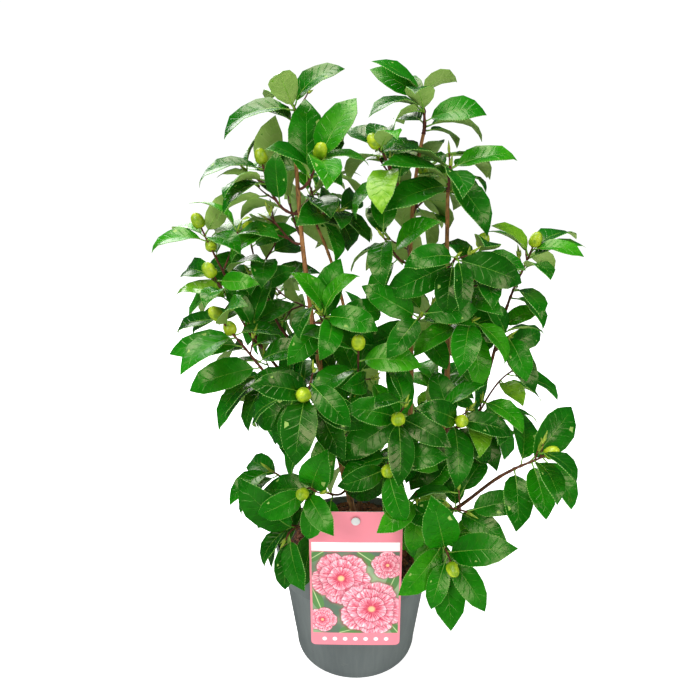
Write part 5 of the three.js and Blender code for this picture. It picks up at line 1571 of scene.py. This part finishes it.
def dress_pot(rng):
    pot_piece()
    points, sets = soil_piece(rng)
    earth = earth_finish("potting_mix", rgb(34, 22, 16), rgb(66, 42, 30), rgb(96, 60, 40))
    mesh_piece("soil_surface", points, sets, [earth], "potting_mix", ["soil"])
    chips = earth_finish("bark_chips", rgb(70, 38, 24), rgb(124, 70, 42), rgb(158, 98, 62))
    points, sets = chip_parts(rng)
    mesh_piece("soil_chips", points, sets, [chips], "potting_mix", ["soil"], sharp=CHIP["sharp"])
    card_piece()
    stake_piece(clear_finish())


# ---------------------------------------------------------------- stage, camera and light
SENSOR = 36.0                   # mm of film for the width of the frame, which is twice SIGHT's middle
FLOOR_REACH = 6.0
LIGHT = dict(
    backdrop=1.05, ambient=0.30, mirrored=0.06, aim=(0, 0, 0.35),
    boxes=[("key", (-1.1, -1.5, 1.7), 1.2, 27), ("fill", (1.4, -1.2, 1.3), 1.0, 13),
           ("top", (-0.35, 0.1, 2.0), 1.4, 34), ("rear", (-0.6, 1.5, 1.3), 1.2, 18)],
)


def set_stage():
    mesh = bpy.data.meshes.new("floor")
    corners = [(-1, -1), (1, -1), (1, 1), (-1, 1)]
    mesh.from_pydata([(x * FLOOR_REACH, y * FLOOR_REACH, 0) for x, y in corners], [], [(0, 1, 2, 3)])
    mesh.materials.append(floor_finish())
    floor = bpy.data.objects.new("floor", mesh)
    floor.visible_glossy = False
    bpy.context.scene.collection.objects.link(floor)


def set_camera():
    camera = bpy.data.cameras.new("camera")
    camera.sensor_width = SENSOR
    camera.lens = SIGHT["reach"] / (2 * SIGHT["middle"]) * SENSOR
    camera.clip_start = 0.01
    stand = bpy.data.objects.new("camera", camera)
    stand.location = (0, SIGHT["y"] * MM, SIGHT["z"] * MM)
    stand.rotation_euler = (np.radians(90 - SIGHT["pitch"]), 0, np.radians(SIGHT["yaw"]))
    bpy.context.scene.collection.objects.link(stand)
    bpy.context.scene.camera = stand


def soft_light(name, place, aim, size, power):
    light = bpy.data.lights.new(name, "AREA")
    light.shape, light.size, light.energy = "DISK", size, power
    lamp = bpy.data.objects.new(name, light)
    lamp.location = place
    way = np.array(aim, float) - np.array(place, float)
    lamp.rotation_euler = (np.arctan2(np.hypot(way[0], way[1]), -way[2]), 0, np.arctan2(-way[0], way[1]))
    bpy.context.scene.collection.objects.link(lamp)


def set_light():
    """White backdrop for the camera, a dimmer even light for the plant that its gloss hardly mirrors, and
    soft boxes round it."""
    world = bpy.data.worlds.new("studio")
    world.use_nodes = True
    tree = world.node_tree
    sky = tree.nodes["Background"]
    rays = tree.nodes.new("ShaderNodeLightPath")
    around = tree.nodes.new("ShaderNodeMapRange")
    around.inputs["To Min"].default_value = LIGHT["ambient"]
    around.inputs["To Max"].default_value = LIGHT["mirrored"]
    tree.links.new(rays.outputs["Is Glossy Ray"], around.inputs["Value"])
    strength = tree.nodes.new("ShaderNodeMapRange")
    strength.inputs["To Max"].default_value = LIGHT["backdrop"]
    tree.links.new(around.outputs["Result"], strength.inputs["To Min"])
    tree.links.new(rays.outputs["Is Camera Ray"], strength.inputs["Value"])
    tree.links.new(strength.outputs["Result"], sky.inputs["Strength"])
    sky.inputs["Color"].default_value = (1.0, 1.0, 1.0, 1.0)
    bpy.context.scene.world = world
    for name, place, size, power in LIGHT["boxes"]:
        soft_light(name, place, LIGHT["aim"], size, power)
    bpy.context.scene.view_settings.view_transform = "Standard"


limbs, masses = grow_plant()
rng = np.random.default_rng(SCATTER_SEED)
shoot_bark = dress_limbs(limbs, rng)
mesh_piece("twigs", *joined(twig_parts(masses, rng)), [shoot_bark], "young_bark", FOLIAGE_NODES)
dress_foliage(masses, rng)
dress_buds(masses, rng)
dress_pot(rng)
set_stage()
set_camera()
set_light()
